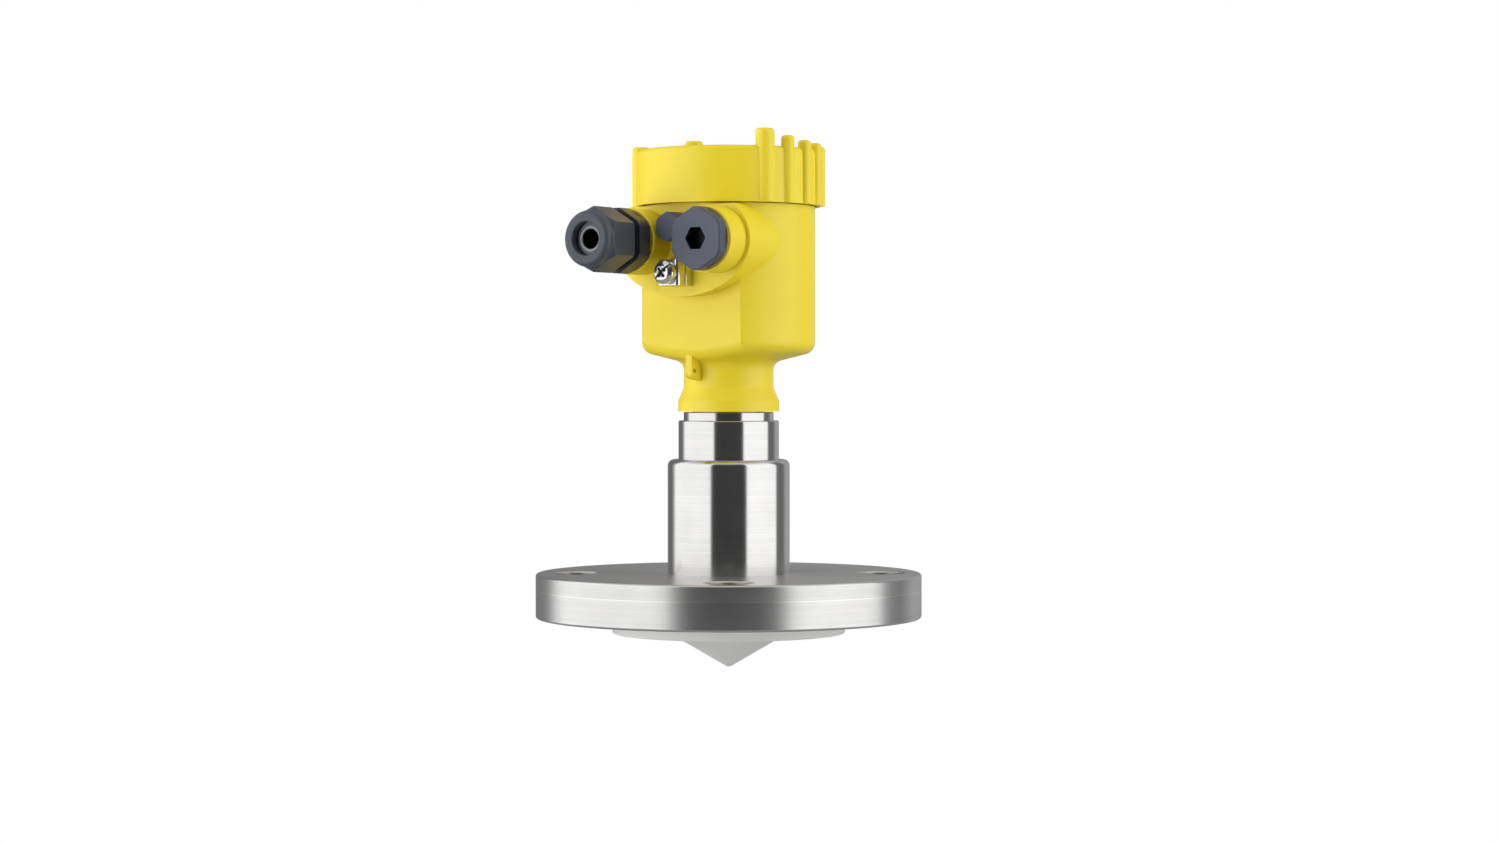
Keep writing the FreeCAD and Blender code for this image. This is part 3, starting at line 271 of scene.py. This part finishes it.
def soft_rubber(name, colour, roughness=0.6, hole=None):
    """Rubber or film: one plain colour, with gloss that varies a little, and painted shade inside a hole if
    one is given.
    """
    finish = Finish(name)
    cloud = finish.noise(finish.place(), scale=300.0, detail=2.0)
    # Painted shade: near black inside the hole, where little light reaches
    tint = finish.blend(finish.hole_shade_mask(*hole), colour, HOLE_SHADE) if hole else colour
    finish.set(Base_Color=tint, Roughness=finish.ramp(cloud, 0.3, 0.7, roughness - 0.05, roughness + 0.05))
    return finish.material


YELLOW = moulded_plastic("yellow_head_plastic", linear(236, 214, 44), linear(233, 210, 40), 0.42, 0.25)
SLATE = moulded_plastic("slate_plug_plastic", linear(76, 84, 98), linear(71, 78, 92), 0.45, 0.4)
# The plug's hex socket gets painted shade, near black behind its mouth
PLUG = moulded_plastic(
    "slate_socket_plug_plastic", linear(72, 80, 94), linear(67, 74, 88), 0.45, 0.4,
    hole=(ENTRY_X, ENTRY_LEVEL, PLUG_FRONT, PLUG_SOCKET_R))
GLAND = moulded_plastic("dark_gland_plastic", linear(66, 71, 81), linear(60, 64, 74), 0.4, 0.3)
# The gland body is the gland plastic made darker: painted shade for where it stands behind the nut
GLAND_BODY_SHADED = moulded_plastic("gland_body_plastic_painted_shade", linear(50, 53, 62), linear(44, 47, 56), 0.36, 0.3)
BLACK = moulded_plastic("black_insert_plastic", linear(32, 32, 34), linear(26, 26, 28), 0.5, 0.5)
GREY = moulded_plastic("grey_terminal_plastic", linear(140, 144, 148), linear(132, 136, 140), 0.5, 0.3)
LENS_WHITE = moulded_plastic(
    "white_antenna_plastic", linear(243, 243, 241), linear(239, 239, 237), 0.5, 0.2)
BOARD = moulded_plastic("green_board", linear(24, 92, 52), linear(20, 82, 46), 0.4, 0.1)
STEEL = turned_steel("turned_steel", STAINLESS, 0.17, 0.2, 0.75)
FLANGE_STEEL = turned_steel("turned_flange_steel", STAINLESS, 0.3, 0.3, 0.35, SCRIBE_LEVEL)
BRIGHT = bright_metal("bright_screw_steel", (0.75, 0.75, 0.74, 1.0), 0.16)
BRASS = bright_metal("turned_brass", (0.75, 0.55, 0.25, 1.0), 0.25)
RUBBER = soft_rubber("black_rubber", linear(28, 28, 28))
# The seal's bore gets painted shade, near black behind its mouth
GRIP = soft_rubber(
    "grey_grip_rubber", linear(146, 150, 158), 0.35, hole=(-ENTRY_X, ENTRY_LEVEL, SEAL_FRONT, SEAL_HOLE_R))
# The gaskets and the lid seal take a dull mustard, the colour of shaded yellow plastic: painted shade in the
# gaps beside them
GASKET_PAINTED_SHADE = soft_rubber("gasket_rubber_painted_shaded_yellow", linear(150, 126, 40))
# Near-black steel for the inside of the screw's slots: painted shade
SLOT_SHADE_STEEL = bright_metal("slot_steel_painted_shade", (0.12, 0.12, 0.125, 1.0), 0.5)
FILM = soft_rubber("white_film", linear(225, 225, 225), 0.8)

SLOT_FINISH = {
    "process_steel": STEEL, "antenna_plastic": LENS_WHITE, "head_plastic": YELLOW, "plug_plastic": SLATE,
    "gland_plastic": GLAND, "grip_rubber": GRIP, "black_rubber": RUBBER, "screw_steel": BRIGHT,
    "brass": BRASS, "module_plastic": BLACK, "terminal_plastic": GREY, "board": BOARD, "membrane": FILM}

NODE_FINISH = {
    "blind_plug": PLUG, "gland_body": GLAND_BODY_SHADED, "plug_gasket": GASKET_PAINTED_SHADE, "gland_gasket": GASKET_PAINTED_SHADE,
    "lid_seal": GASKET_PAINTED_SHADE}


def dress_cad_nodes():
    slots = {part["node"]: part["material_slot"] for part in frame["record"]["subparts"]}
    for name, node in frame["nodes"].items():
        node.data.materials.clear()
        node.data.materials.append(NODE_FINISH.get(name, SLOT_FINISH[slots[name]]))


dress_cad_nodes()


# Shapes

SEGMENTS = 256
SMALL_SEGMENTS = 96
ARC_STEPS = 6
ON_AXIS = 1e-6


def rounded(corners):
    """A closed outline of corners (x, y) or (x, y, radius), with the radii drawn as short steps."""
    points = []
    for index, corner in enumerate(corners):
        spot = Vector(corner[:2])
        if len(corner) == 2:
            points.append(tuple(spot))
            continue
        back = (Vector(corners[index - 1][:2]) - spot).normalized()
        ahead = (Vector(corners[(index + 1) % len(corners)][:2]) - spot).normalized()
        half = back.angle(ahead) / 2
        reach = corner[2] / math.tan(half)
        middle = spot + (back + ahead).normalized() * (corner[2] / math.sin(half))
        first = spot + back * reach - middle
        last = spot + ahead * reach - middle
        turn = first.angle_signed(last)
        for step in range(ARC_STEPS + 1):
            part = -turn * step / ARC_STEPS
            spun = Matrix.Rotation(part, 2) @ first
            points.append(tuple(middle + spun))
    return points


def on_circle(radius, angle, height):
    return (radius * MM * math.cos(angle), radius * MM * math.sin(angle), height * MM)


def join_loops(shape, first, second):
    """Faces all the way round between two closed rows with as many corners."""
    for number in range(len(first)):
        after = (number + 1) % len(first)
        shape.faces.new((first[number], first[after], second[after], second[number]))


def finished_mesh(shape, name):
    """Turns the faces outward and hands the shape over as a mesh."""
    bmesh.ops.recalc_face_normals(shape, faces=shape.faces)
    mesh = bpy.data.meshes.new(name)
    shape.to_mesh(mesh)
    shape.free()
    return mesh


def add_piece(name, mesh, body, finish, place=None):
    piece = bpy.data.objects.new(name, mesh)
    bpy.context.scene.collection.objects.link(piece)
    if place is not None:
        mesh.transform(place)
    mesh.materials.append(finish)
    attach(piece, body)
    return piece


def lathe_mesh(name, corners, segments=SEGMENTS):
    """A mesh turned about Z from a closed outline, given as (radius, height)."""
    shape = bmesh.new()
    rings = []
    for radius, height in rounded(corners):
        if radius < ON_AXIS:
            rings.append([shape.verts.new((0, 0, height * MM))])
            continue
        angles = [2 * math.pi * number / segments for number in range(segments)]
        rings.append([shape.verts.new(on_circle(radius, angle, height)) for angle in angles])
    for index, ring in enumerate(rings):
        above = rings[(index + 1) % len(rings)]
        if len(ring) == 1 and len(above) == 1:
            continue
        for number in range(segments):
            after = (number + 1) % segments
            face = [ring[number % len(ring)], ring[after % len(ring)]]
            face += [above[after % len(above)], above[number % len(above)]]
            shape.faces.new(list(dict.fromkeys(face)))
    return finished_mesh(shape, name)


def shade(piece, sharp=26.0):
    """Smooth shading between faces that meet at a small angle, flat faces kept flat."""
    piece.data.shade_smooth()
    piece.data.set_sharp_from_angle(angle=math.radians(sharp))
    evened = piece.modifiers.new("even_normals", "WEIGHTED_NORMAL")
    evened.keep_sharp = True


def turned_piece(name, corners, body, finish, replaced, place=None, segments=SEGMENTS):
    """A turned piece that stands for the CAD nodes it replaces."""
    piece = add_piece(name, lathe_mesh(name, corners, segments), body, finish, place)
    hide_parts(*replaced)
    shade(piece)
    return piece


def cut(piece, cutter_meshes):
    """Cuts shapes out of a piece and keeps the result as its mesh."""
    cutters = []
    for number, mesh in enumerate(cutter_meshes):
        cutter = bpy.data.objects.new("cutter_%d" % number, mesh)
        bpy.context.scene.collection.objects.link(cutter)
        tool = piece.modifiers.new("cut", "BOOLEAN")
        tool.operation = "DIFFERENCE"
        tool.solver = "EXACT"
        tool.material_mode = "TRANSFER"
        tool.object = cutter
        cutters.append(cutter)
    bpy.context.view_layer.update()
    ready = bpy.data.meshes.new_from_object(piece.evaluated_get(bpy.context.evaluated_depsgraph_get()))
    piece.modifiers.clear()
    piece.data = ready
    for cutter in cutters:
        bpy.data.objects.remove(cutter)


def front_place(x, out, level):
    """Stands a shape that was made along Z on the entry face, pointing along -Y."""
    return Matrix.Translation((x * MM, -out * MM, level * MM)) @ Matrix.Rotation(math.radians(90), 4, "X")


# Flange with its raised face, bolt holes and scribed line

FLANGE_R = 76.2
FLANGE_TOP = 17.5
RAISED_FACE_R = 46.05
RAISED_FACE = -1.6
SLEEVE_BORE_R = 22.0
SLEEVE_SEAT = 3.0
HORN_R = 19.2
LENS_GROOVE_OUT_R = 31.5
LENS_GROOVE_IN_R = 28.5
LENS_GROOVE_ROOF = 1.1
SCRIBE_HALF = 0.2
SCRIBE_DEEP = 0.15
BOLT_COUNT = 4
BOLT_CIRCLE_R = 60.325
BOLT_R = 9.525
BOLT_TURN = 35.0
BOLT_CHAMFER = 0.5
CUTTER_PAST = 0.5


def bolt_cutter(number):
    """A bolt hole chamfered at both ends, drawn on past the flange's two sides."""
    wide = BOLT_R + BOLT_CHAMFER + CUTTER_PAST
    low = -CUTTER_PAST
    top = FLANGE_TOP + CUTTER_PAST
    mesh = lathe_mesh("bolt_cutter", [
        (0, low - 1), (wide, low - 1), (wide, low), (BOLT_R, BOLT_CHAMFER),
        (BOLT_R, FLANGE_TOP - BOLT_CHAMFER), (wide, top), (wide, top + 1), (0, top + 1)], SMALL_SEGMENTS)
    angle = math.radians(BOLT_TURN + 360 / BOLT_COUNT * number)
    mesh.transform(Matrix.Translation(on_circle(BOLT_CIRCLE_R, angle, 0)))
    return mesh


def make_flange():
    flange = turned_piece("turned_flange", [
        (SLEEVE_BORE_R, SLEEVE_SEAT), (SLEEVE_BORE_R, FLANGE_TOP), (FLANGE_R, FLANGE_TOP, 1.0),
        (FLANGE_R, SCRIBE_LEVEL + SCRIBE_HALF), (FLANGE_R - SCRIBE_DEEP, SCRIBE_LEVEL),
        (FLANGE_R, SCRIBE_LEVEL - SCRIBE_HALF), (FLANGE_R, 0, 1.0), (RAISED_FACE_R, 0),
        (RAISED_FACE_R, RAISED_FACE, 0.3), (LENS_GROOVE_OUT_R, RAISED_FACE),
        (LENS_GROOVE_OUT_R, LENS_GROOVE_ROOF), (LENS_GROOVE_IN_R, LENS_GROOVE_ROOF),
        (LENS_GROOVE_IN_R, RAISED_FACE), (HORN_R, RAISED_FACE), (HORN_R, SLEEVE_SEAT)],
        "process_part", FLANGE_STEEL, ["flange"])
    cut(flange, [bolt_cutter(number) for number in range(BOLT_COUNT)])
    shade(flange)


# Welded sleeve, and the turned adapter with the journal that carries the head

SLEEVE_R = 24.1
SLEEVE_TOP = 62.5
SLEEVE_SPIGOT_R = 21.9
HORN_TOP = 52.0
ADAPTER_BORE_R = 13.0
ADAPTER_SPIGOT_R = 12.9
ADAPTER_FOOT = 52.5
COLLAR_R = 19.85
COLLAR_TOP = 77.8
SHOULDER_R = 17.8
SHOULDER_TOP = 81.1
JOURNAL_R = 14.1
JOURNAL_TOP = 107.0
JOURNAL_BORE_R = 9.0
JOURNAL_BORE_FLOOR = 70.0
WAVEGUIDE_BORE_R = 3.6
RING_GROOVE_R = 12.9
RING_GROOVE_LOW = 104.25
RING_GROOVE_TOP = 105.85
SWIVEL_SEAL_LEVELS = (94.9, 88.4)
SEAL_GROOVE_R = 11.65
SEAL_GROOVE_HALF = 1.3


def make_sleeve():
    turned_piece("turned_sleeve", [
        (SLEEVE_SPIGOT_R, SLEEVE_SEAT), (SLEEVE_SPIGOT_R, FLANGE_TOP), (SLEEVE_R, FLANGE_TOP),
        (SLEEVE_R, SLEEVE_TOP, 2.5), (ADAPTER_BORE_R, SLEEVE_TOP), (ADAPTER_BORE_R, HORN_TOP),
        (HORN_R, HORN_TOP), (HORN_R, SLEEVE_SEAT)],
        "process_part", STEEL, ["neck_sleeve"])


def make_adapter():
    seal_grooves = []
    for middle in SWIVEL_SEAL_LEVELS:
        top = middle + SEAL_GROOVE_HALF
        low = middle - SEAL_GROOVE_HALF
        seal_grooves += [
            (JOURNAL_R, top, 0.1), (SEAL_GROOVE_R, top), (SEAL_GROOVE_R, low), (JOURNAL_R, low, 0.1)]
    turned_piece("turned_adapter", [
        (WAVEGUIDE_BORE_R, ADAPTER_FOOT), (WAVEGUIDE_BORE_R, JOURNAL_BORE_FLOOR),
        (JOURNAL_BORE_R, JOURNAL_BORE_FLOOR), (JOURNAL_BORE_R, JOURNAL_TOP), (JOURNAL_R, JOURNAL_TOP, 0.4),
        (JOURNAL_R, RING_GROOVE_TOP), (RING_GROOVE_R, RING_GROOVE_TOP), (RING_GROOVE_R, RING_GROOVE_LOW),
        (JOURNAL_R, RING_GROOVE_LOW)] + seal_grooves + [
        (JOURNAL_R, SHOULDER_TOP), (SHOULDER_R, SHOULDER_TOP, 0.3), (SHOULDER_R, COLLAR_TOP),
        (COLLAR_R, COLLAR_TOP, 0.6), (COLLAR_R, SLEEVE_TOP), (ADAPTER_SPIGOT_R, SLEEVE_TOP),
        (ADAPTER_SPIGOT_R, ADAPTER_FOOT)], "process_part", STEEL, ["neck_adapter"])


# Antenna disc with the cone below it and the filling of the horn above

TIP_R = 0.8
TIP_LEVEL = -19.5
CONE_R = 23.75
DISC_LEVEL = -6.0
HORN_MOUTH_R = 17.6
HORN_FILL_R = 1.9
HORN_FILL_TOP = 42.0


def make_lens():
    turned_piece("turned_lens", [
        (0, TIP_LEVEL), (TIP_R, TIP_LEVEL, 0.5), (CONE_R, DISC_LEVEL, 0.4), (RAISED_FACE_R, DISC_LEVEL, 0.6),
        (RAISED_FACE_R, RAISED_FACE, 0.15), (HORN_MOUTH_R, RAISED_FACE), (HORN_FILL_R, HORN_FILL_TOP),
        (0, HORN_FILL_TOP)], "process_part", LENS_WHITE, ["antenna_lens"])


make_flange()
make_sleeve()
make_adapter()
make_lens()


# Threads

THREAD_STEPS = 72
RUN_OUT_STEPS = 12
ROOT_SINK = 0.05

# Half the ridge's width at its foot and at its crest, as shares of the pitch
FOOT_SHARE = 0.42 * 0.8
CREST_SHARE = 0.1 * 0.8


def thread_piece(name, radius, height, low, high, pitch, body, finish, place=None):
    """A ridge that winds up a shaft as a right-hand thread does, running out at both ends."""
    shape = bmesh.new()
    count = int((high - low) / pitch * THREAD_STEPS)
    ridge = [
        (-ROOT_SINK, -FOOT_SHARE), (height, -CREST_SHARE), (height, CREST_SHARE), (-ROOT_SINK, FOOT_SHARE)]
    rows = []
    for number in range(count + 1):
        angle = 2 * math.pi * number / THREAD_STEPS
        level = low + pitch * number / THREAD_STEPS
        grown = min(1.0, number / RUN_OUT_STEPS, (count - number) / RUN_OUT_STEPS)
        row = []
        for out, rise in ridge:
            reach = radius - ROOT_SINK + (out + ROOT_SINK) * grown
            row.append(shape.verts.new(on_circle(reach, angle, level + rise * pitch)))
        rows.append(row)
    for lower, upper in zip(rows, rows[1:]):
        join_loops(shape, lower, upper)
    shape.faces.new(rows[0])
    shape.faces.new(rows[-1])
    piece = add_piece(name, finished_mesh(shape, name), body, finish, place)
    shade(piece)


def make_threads():
    thread_piece(
        "rim_thread", radius=32.5, height=0.27, low=164.6, high=175.6, pitch=3.0,
        body="head", finish=YELLOW)
    thread_piece(
        "gland_neck_thread", radius=9.3, height=0.13, low=8.0, high=16.2, pitch=1.5,
        body="head", finish=GLAND,
        place=front_place(-ENTRY_X, ENTRY_OUT, ENTRY_LEVEL))


# Gland seal with its domed front, drawn outward from the entry face

SEAL_BORE_R = 3.9
SEAL_R = 7.0
SEAL_BACK = 10.3
SEAL_SHOULDER = 22.4


def make_gland_seal():
    turned_piece("domed_seal", [
        (SEAL_BORE_R, SEAL_BACK), (SEAL_R, SEAL_BACK), (SEAL_R, SEAL_SHOULDER, 0.4), (5.8, 22.8, 1.6),
        (4.5, 23.8, 0.5), (SEAL_BORE_R, 23.4, 0.3)], "gland_grip", GRIP, ["gland_seal"],
        front_place(-ENTRY_X, ENTRY_OUT, ENTRY_LEVEL), SMALL_SEGMENTS)


# Earth screw with its crossed slots, drawn outward from under its head

SCREW_END = -12.6
SHANK_R = 1.75
HEAD_R = 4.6
HEAD_UNDER = 0.1
HEAD_EDGE = 1.9
HEAD_TOP = 3.4
SLOT_TURN = 40.0


def slot_cutter(long, wide, deep, turn):
    """A straight slot across the top of the screw's head."""
    shape = bmesh.new()
    bmesh.ops.create_cube(shape, size=1.0)
    mesh = finished_mesh(shape, "slot_cutter")
    # The slot's walls take the near-black steel: painted shade inside the slot
    mesh.materials.append(SLOT_SHADE_STEEL)
    size = Matrix.Diagonal((long * MM, wide * MM, 2 * deep * MM, 1))
    turned = Matrix.Rotation(math.radians(turn), 4, "Z")
    mesh.transform(Matrix.Translation((0, 0, HEAD_TOP * MM)) @ turned @ size)
    return mesh


def make_ground_screw():
    place = front_place(0, SCREW_OUT, SCREW_LEVEL)
    screw = turned_piece("pan_head_screw", [
        (0, SCREW_END), (1.2, SCREW_END), (SHANK_R, -12.0), (SHANK_R, 0.0), (2.0, HEAD_UNDER),
        (HEAD_R, HEAD_UNDER, 0.2), (HEAD_R, HEAD_EDGE, 1.0), (3.2, 3.2, 2.0), (0, HEAD_TOP)],
        "ground_screw", BRIGHT, ["ground_screw"], segments=SMALL_SEGMENTS)
    long_slot = slot_cutter(long=10.0, wide=0.7, deep=1.3, turn=SLOT_TURN)
    cross_slot = slot_cutter(long=4.4, wide=0.9, deep=1.6, turn=SLOT_TURN + 90)
    cut(screw, [long_slot, cross_slot])
    screw.data.transform(place)
    shade(screw)
    thread_piece(
        "ground_screw_thread", radius=SHANK_R, height=0.2, low=-12.2, high=-0.6, pitch=0.7,
        body="ground_screw", finish=BRIGHT, place=place)


# Thin folded sheet over the sides of the plate that the earth clamp stands on

TRAY_OUTER_X = 5.36
TRAY_INNER_X = 5.12
TRAY_HALF_TALL = 5.05
TRAY_BACK = PAD_OUT + 0.05
TRAY_FRONT = PAD_OUT + 4.15
TRAY_FOLD_X = TRAY_OUTER_X - 0.1
TRAY_FOLD_OUT = TRAY_FRONT - 0.15


def make_earth_tray():
    shape = bmesh.new()
    outline = [
        (TRAY_INNER_X, TRAY_BACK), (TRAY_INNER_X, TRAY_FRONT), (TRAY_FOLD_X, TRAY_FRONT),
        (TRAY_OUTER_X, TRAY_FOLD_OUT), (TRAY_OUTER_X, TRAY_BACK)]
    for side in (1, -1):
        rows = []
        for level in (SCREW_LEVEL - TRAY_HALF_TALL, SCREW_LEVEL + TRAY_HALF_TALL):
            rows.append([shape.verts.new((side * x * MM, -out * MM, level * MM)) for x, out in outline])
        for row in rows:
            shape.faces.new(row)
        join_loops(shape, *rows)
    tray = add_piece("earth_tray", finished_mesh(shape, "earth_tray"), "head", BRIGHT)
    shade(tray)


# Earth sign on the entry pad: an upright bar over three level ones of falling length

SIGN_X = -11.8
SIGN_LEVEL = 130.3
SIGN_STEP = 1.1
SIGN_BARS = (3.4, 2.2, 1.1)
UPRIGHT_LONG = 1.9
UPRIGHT_RISE = 1.0
BAR_HALF_WIDE = 0.22
BAR_END_STEPS = 6
SIGN_SINK = 0.05
SIGN_PROUD = 0.28


def raised_bar(long, level, upright=False):
    """Outline of a bar with round ends at the sign's x, as (x, level)."""
    corners = []
    for end in (1, -1):
        for step in range(BAR_END_STEPS + 1):
            angle = math.pi * step / BAR_END_STEPS - math.pi / 2
            along = end * ((long / 2 - BAR_HALF_WIDE) + BAR_HALF_WIDE * math.cos(angle))
            across = end * BAR_HALF_WIDE * math.sin(angle)
            aside, above = (across, along) if upright else (along, across)
            corners.append((SIGN_X + aside, level + above))
    return corners


def make_earth_sign():
    shape = bmesh.new()
    bars = [raised_bar(long, SIGN_LEVEL - SIGN_STEP * number) for number, long in enumerate(SIGN_BARS)]
    bars.append(raised_bar(UPRIGHT_LONG, SIGN_LEVEL + UPRIGHT_RISE, upright=True))
    for corners in bars:
        rows = []
        for out in (PAD_OUT - SIGN_SINK, PAD_OUT + SIGN_PROUD):
            rows.append([shape.verts.new((x * MM, -out * MM, level * MM)) for x, level in corners])
        for row in rows:
            shape.faces.new(row)
        join_loops(shape, *rows)
    sign = add_piece("earth_sign", finished_mesh(shape, "earth_sign"), "head", YELLOW)
    soft = sign.modifiers.new("soft_edges", "BEVEL")
    soft.width = 0.08 * MM
    soft.segments = 2
    soft.limit_method = "ANGLE"
    soft.angle_limit = math.radians(50)
    shade(sign, 60.0)


make_threads()
make_gland_seal()
make_ground_screw()
make_earth_tray()
make_earth_sign()


# Softened edges on small CAD pieces, by their widths

SOFT_EDGES = {
    "blind_plug": 0.15, "gland_body": 0.2, "gland_nut": 0.25, "vent_cap": 0.15, "ground_clamp": 0.12,
    "ground_washer": 0.12, "module_cover": 0.25, "terminal_block": 0.2, "gland_cage": 0.1}


def soften(name, width):
    """Rounds a CAD node's sharp edges and evens its shading, with modifiers only."""
    node = frame["nodes"][name]
    node.data.shade_smooth()
    weld = node.modifiers.new("weld", "WELD")
    weld.merge_threshold = 0.002 * MM
    flat = node.modifiers.new("flat_faces", "DECIMATE")
    flat.decimate_type = "DISSOLVE"
    flat.angle_limit = math.radians(0.8)
    bevel = node.modifiers.new("soft_edges", "BEVEL")
    bevel.width = width * MM
    bevel.segments = 2
    bevel.limit_method = "ANGLE"
    bevel.angle_limit = math.radians(40)
    bevel.use_clamp_overlap = False
    bevel.harden_normals = False
    node.modifiers.new("even_normals", "WEIGHTED_NORMAL")


for node_name, edge_width in SOFT_EDGES.items():
    soften(node_name, edge_width)


# Studio, in metres: white ground and backdrop, bright walls at both sides, dark behind the camera

# How bright the walls are, by the angle to the right of the camera's side
WALLS = [
    (-180, 0.22), (-134, 0.18), (-130, 0.5), (-124, 0.6), (-122, 1.4), (-35, 1.42), (-33, 0.05), (33, 0.05),
    (35, 1.5), (100, 1.46), (103, 0.19), (124, 0.19), (138, 0.5), (180, 0.3)]

# The upward part of a direction where the walls begin to turn into the ceiling, and are all ceiling
CEILING_START = 0.55
CEILING_FULL = 0.8
CEILING_GREY = 0.75

PANEL_FAR = 1.2
PANEL_WIDE = 1.0
PANEL_TARGET = 0.09


def world_toward(turn, rise=0.0):
    """Unit vector from the object, turned from the camera's side to the right by turn degrees."""
    angle = math.radians(VIEW_TURN + turn)
    tilt = math.radians(rise)
    return Vector((math.sin(angle) * math.cos(tilt), -math.cos(angle) * math.cos(tilt), math.sin(tilt)))


def set_camera():
    camera = bpy.data.objects.new("photo_camera", bpy.data.cameras.new("photo_camera"))
    bpy.context.scene.collection.objects.link(camera)
    bpy.context.scene.camera = camera
    camera.data.lens = FOCAL_MM
    camera.data.sensor_width = SENSOR_MM
    camera.data.clip_start = 0.05
    camera.data.clip_end = 30.0
    focal = PHOTO_WIDE * FOCAL_MM / SENSOR_MM
    yaw = math.atan((PHOTO_WIDE / 2 - AXIS_PIXEL) / focal)
    pitch = math.atan((HORIZON_PIXEL - PHOTO_TALL / 2) / focal)
    spot = world_toward(0) * CAMERA_FAR
    camera.location = (spot.x, spot.y, CAMERA_HIGH)
    camera.rotation_euler = (math.pi / 2 + pitch, 0, math.radians(VIEW_TURN) - yaw)


def set_world():
    world = bpy.data.worlds.new("studio")
    bpy.context.scene.world = world
    world.use_nodes = True
    world.node_tree.nodes.clear()
    sky = Finish("studio", world.node_tree)
    way = sky.node("ShaderNodeTexCoord", output="Generated")
    aside = sky.dot(way, tuple(world_toward(90)))
    ahead = sky.dot(way, tuple(world_toward(0)))
    turn = sky.node("ShaderNodeMath", {"operation": "ARCTAN2"}, {0: aside, 1: ahead})
    stops = [(degrees / 360 + 0.5, grey(level)) for degrees, level in WALLS]
    walls = sky.node("ShaderNodeValToRGB", {"stops": stops}, {0: turn * (0.5 / math.pi) + 0.5})
    steep = sky.node("ShaderNodeSeparateXYZ", sockets={0: way}, output=2)
    room = sky.blend(sky.ramp(steep, CEILING_START, CEILING_FULL), walls, grey(CEILING_GREY))
    camera_ray = sky.node("ShaderNodeLightPath", output="Is Camera Ray")
    shown = sky.blend(camera_ray, room, grey(1.0))
    light = sky.node("ShaderNodeBackground", sockets={"Color": shown, "Strength": 1.0})
    sky.node("ShaderNodeOutputWorld", sockets={"Surface": light})


def set_floor():
    """A grey floor with a glow that only the camera sees, so that it looks near white."""
    mesh = bpy.data.meshes.new("floor")
    corners = [(x * FLOOR_HALF, y * FLOOR_HALF, 0) for x, y in ((-1, -1), (1, -1), (1, 1), (-1, 1))]
    mesh.from_pydata(corners, [], [(0, 1, 2, 3)])
    floor = bpy.data.objects.new("floor", mesh)
    bpy.context.scene.collection.objects.link(floor)
    floor.location.z = FLOOR_LEVEL
    finish = Finish("pale_floor", base_color=grey(0.36), roughness=1.0, emission_strength=1.0)
    camera_ray = finish.node("ShaderNodeLightPath", output="Is Camera Ray")
    finish.set(Emission_Color=finish.blend(camera_ray, grey(0.0), grey(0.75)))
    mesh.materials.append(finish.material)


def add_panel(name, turn, rise, tall, power):
    """A soft lamp that faces the middle of the part and isn't seen itself."""
    light = bpy.data.lights.new(name, "AREA")
    light.shape = "RECTANGLE"
    light.size = PANEL_WIDE
    light.size_y = tall
    light.energy = power
    lamp = bpy.data.objects.new(name, light)
    bpy.context.scene.collection.objects.link(lamp)
    target = Vector((0, 0, PANEL_TARGET))
    lamp.location = target + world_toward(turn, rise) * PANEL_FAR
    lamp.rotation_euler = (target - lamp.location).to_track_quat("-Z", "Y").to_euler()
    lamp.visible_camera = False
    lamp.visible_glossy = False


set_camera()
set_world()
set_floor()
add_panel("left_panel", turn=-64, rise=2, tall=1.2, power=5.8)
add_panel("right_panel", turn=80, rise=6, tall=1.2, power=5.6)
add_panel("low_panel", turn=-30, rise=-10, tall=0.3, power=1.7)

bpy.context.scene.view_settings.view_transform = "Standard"
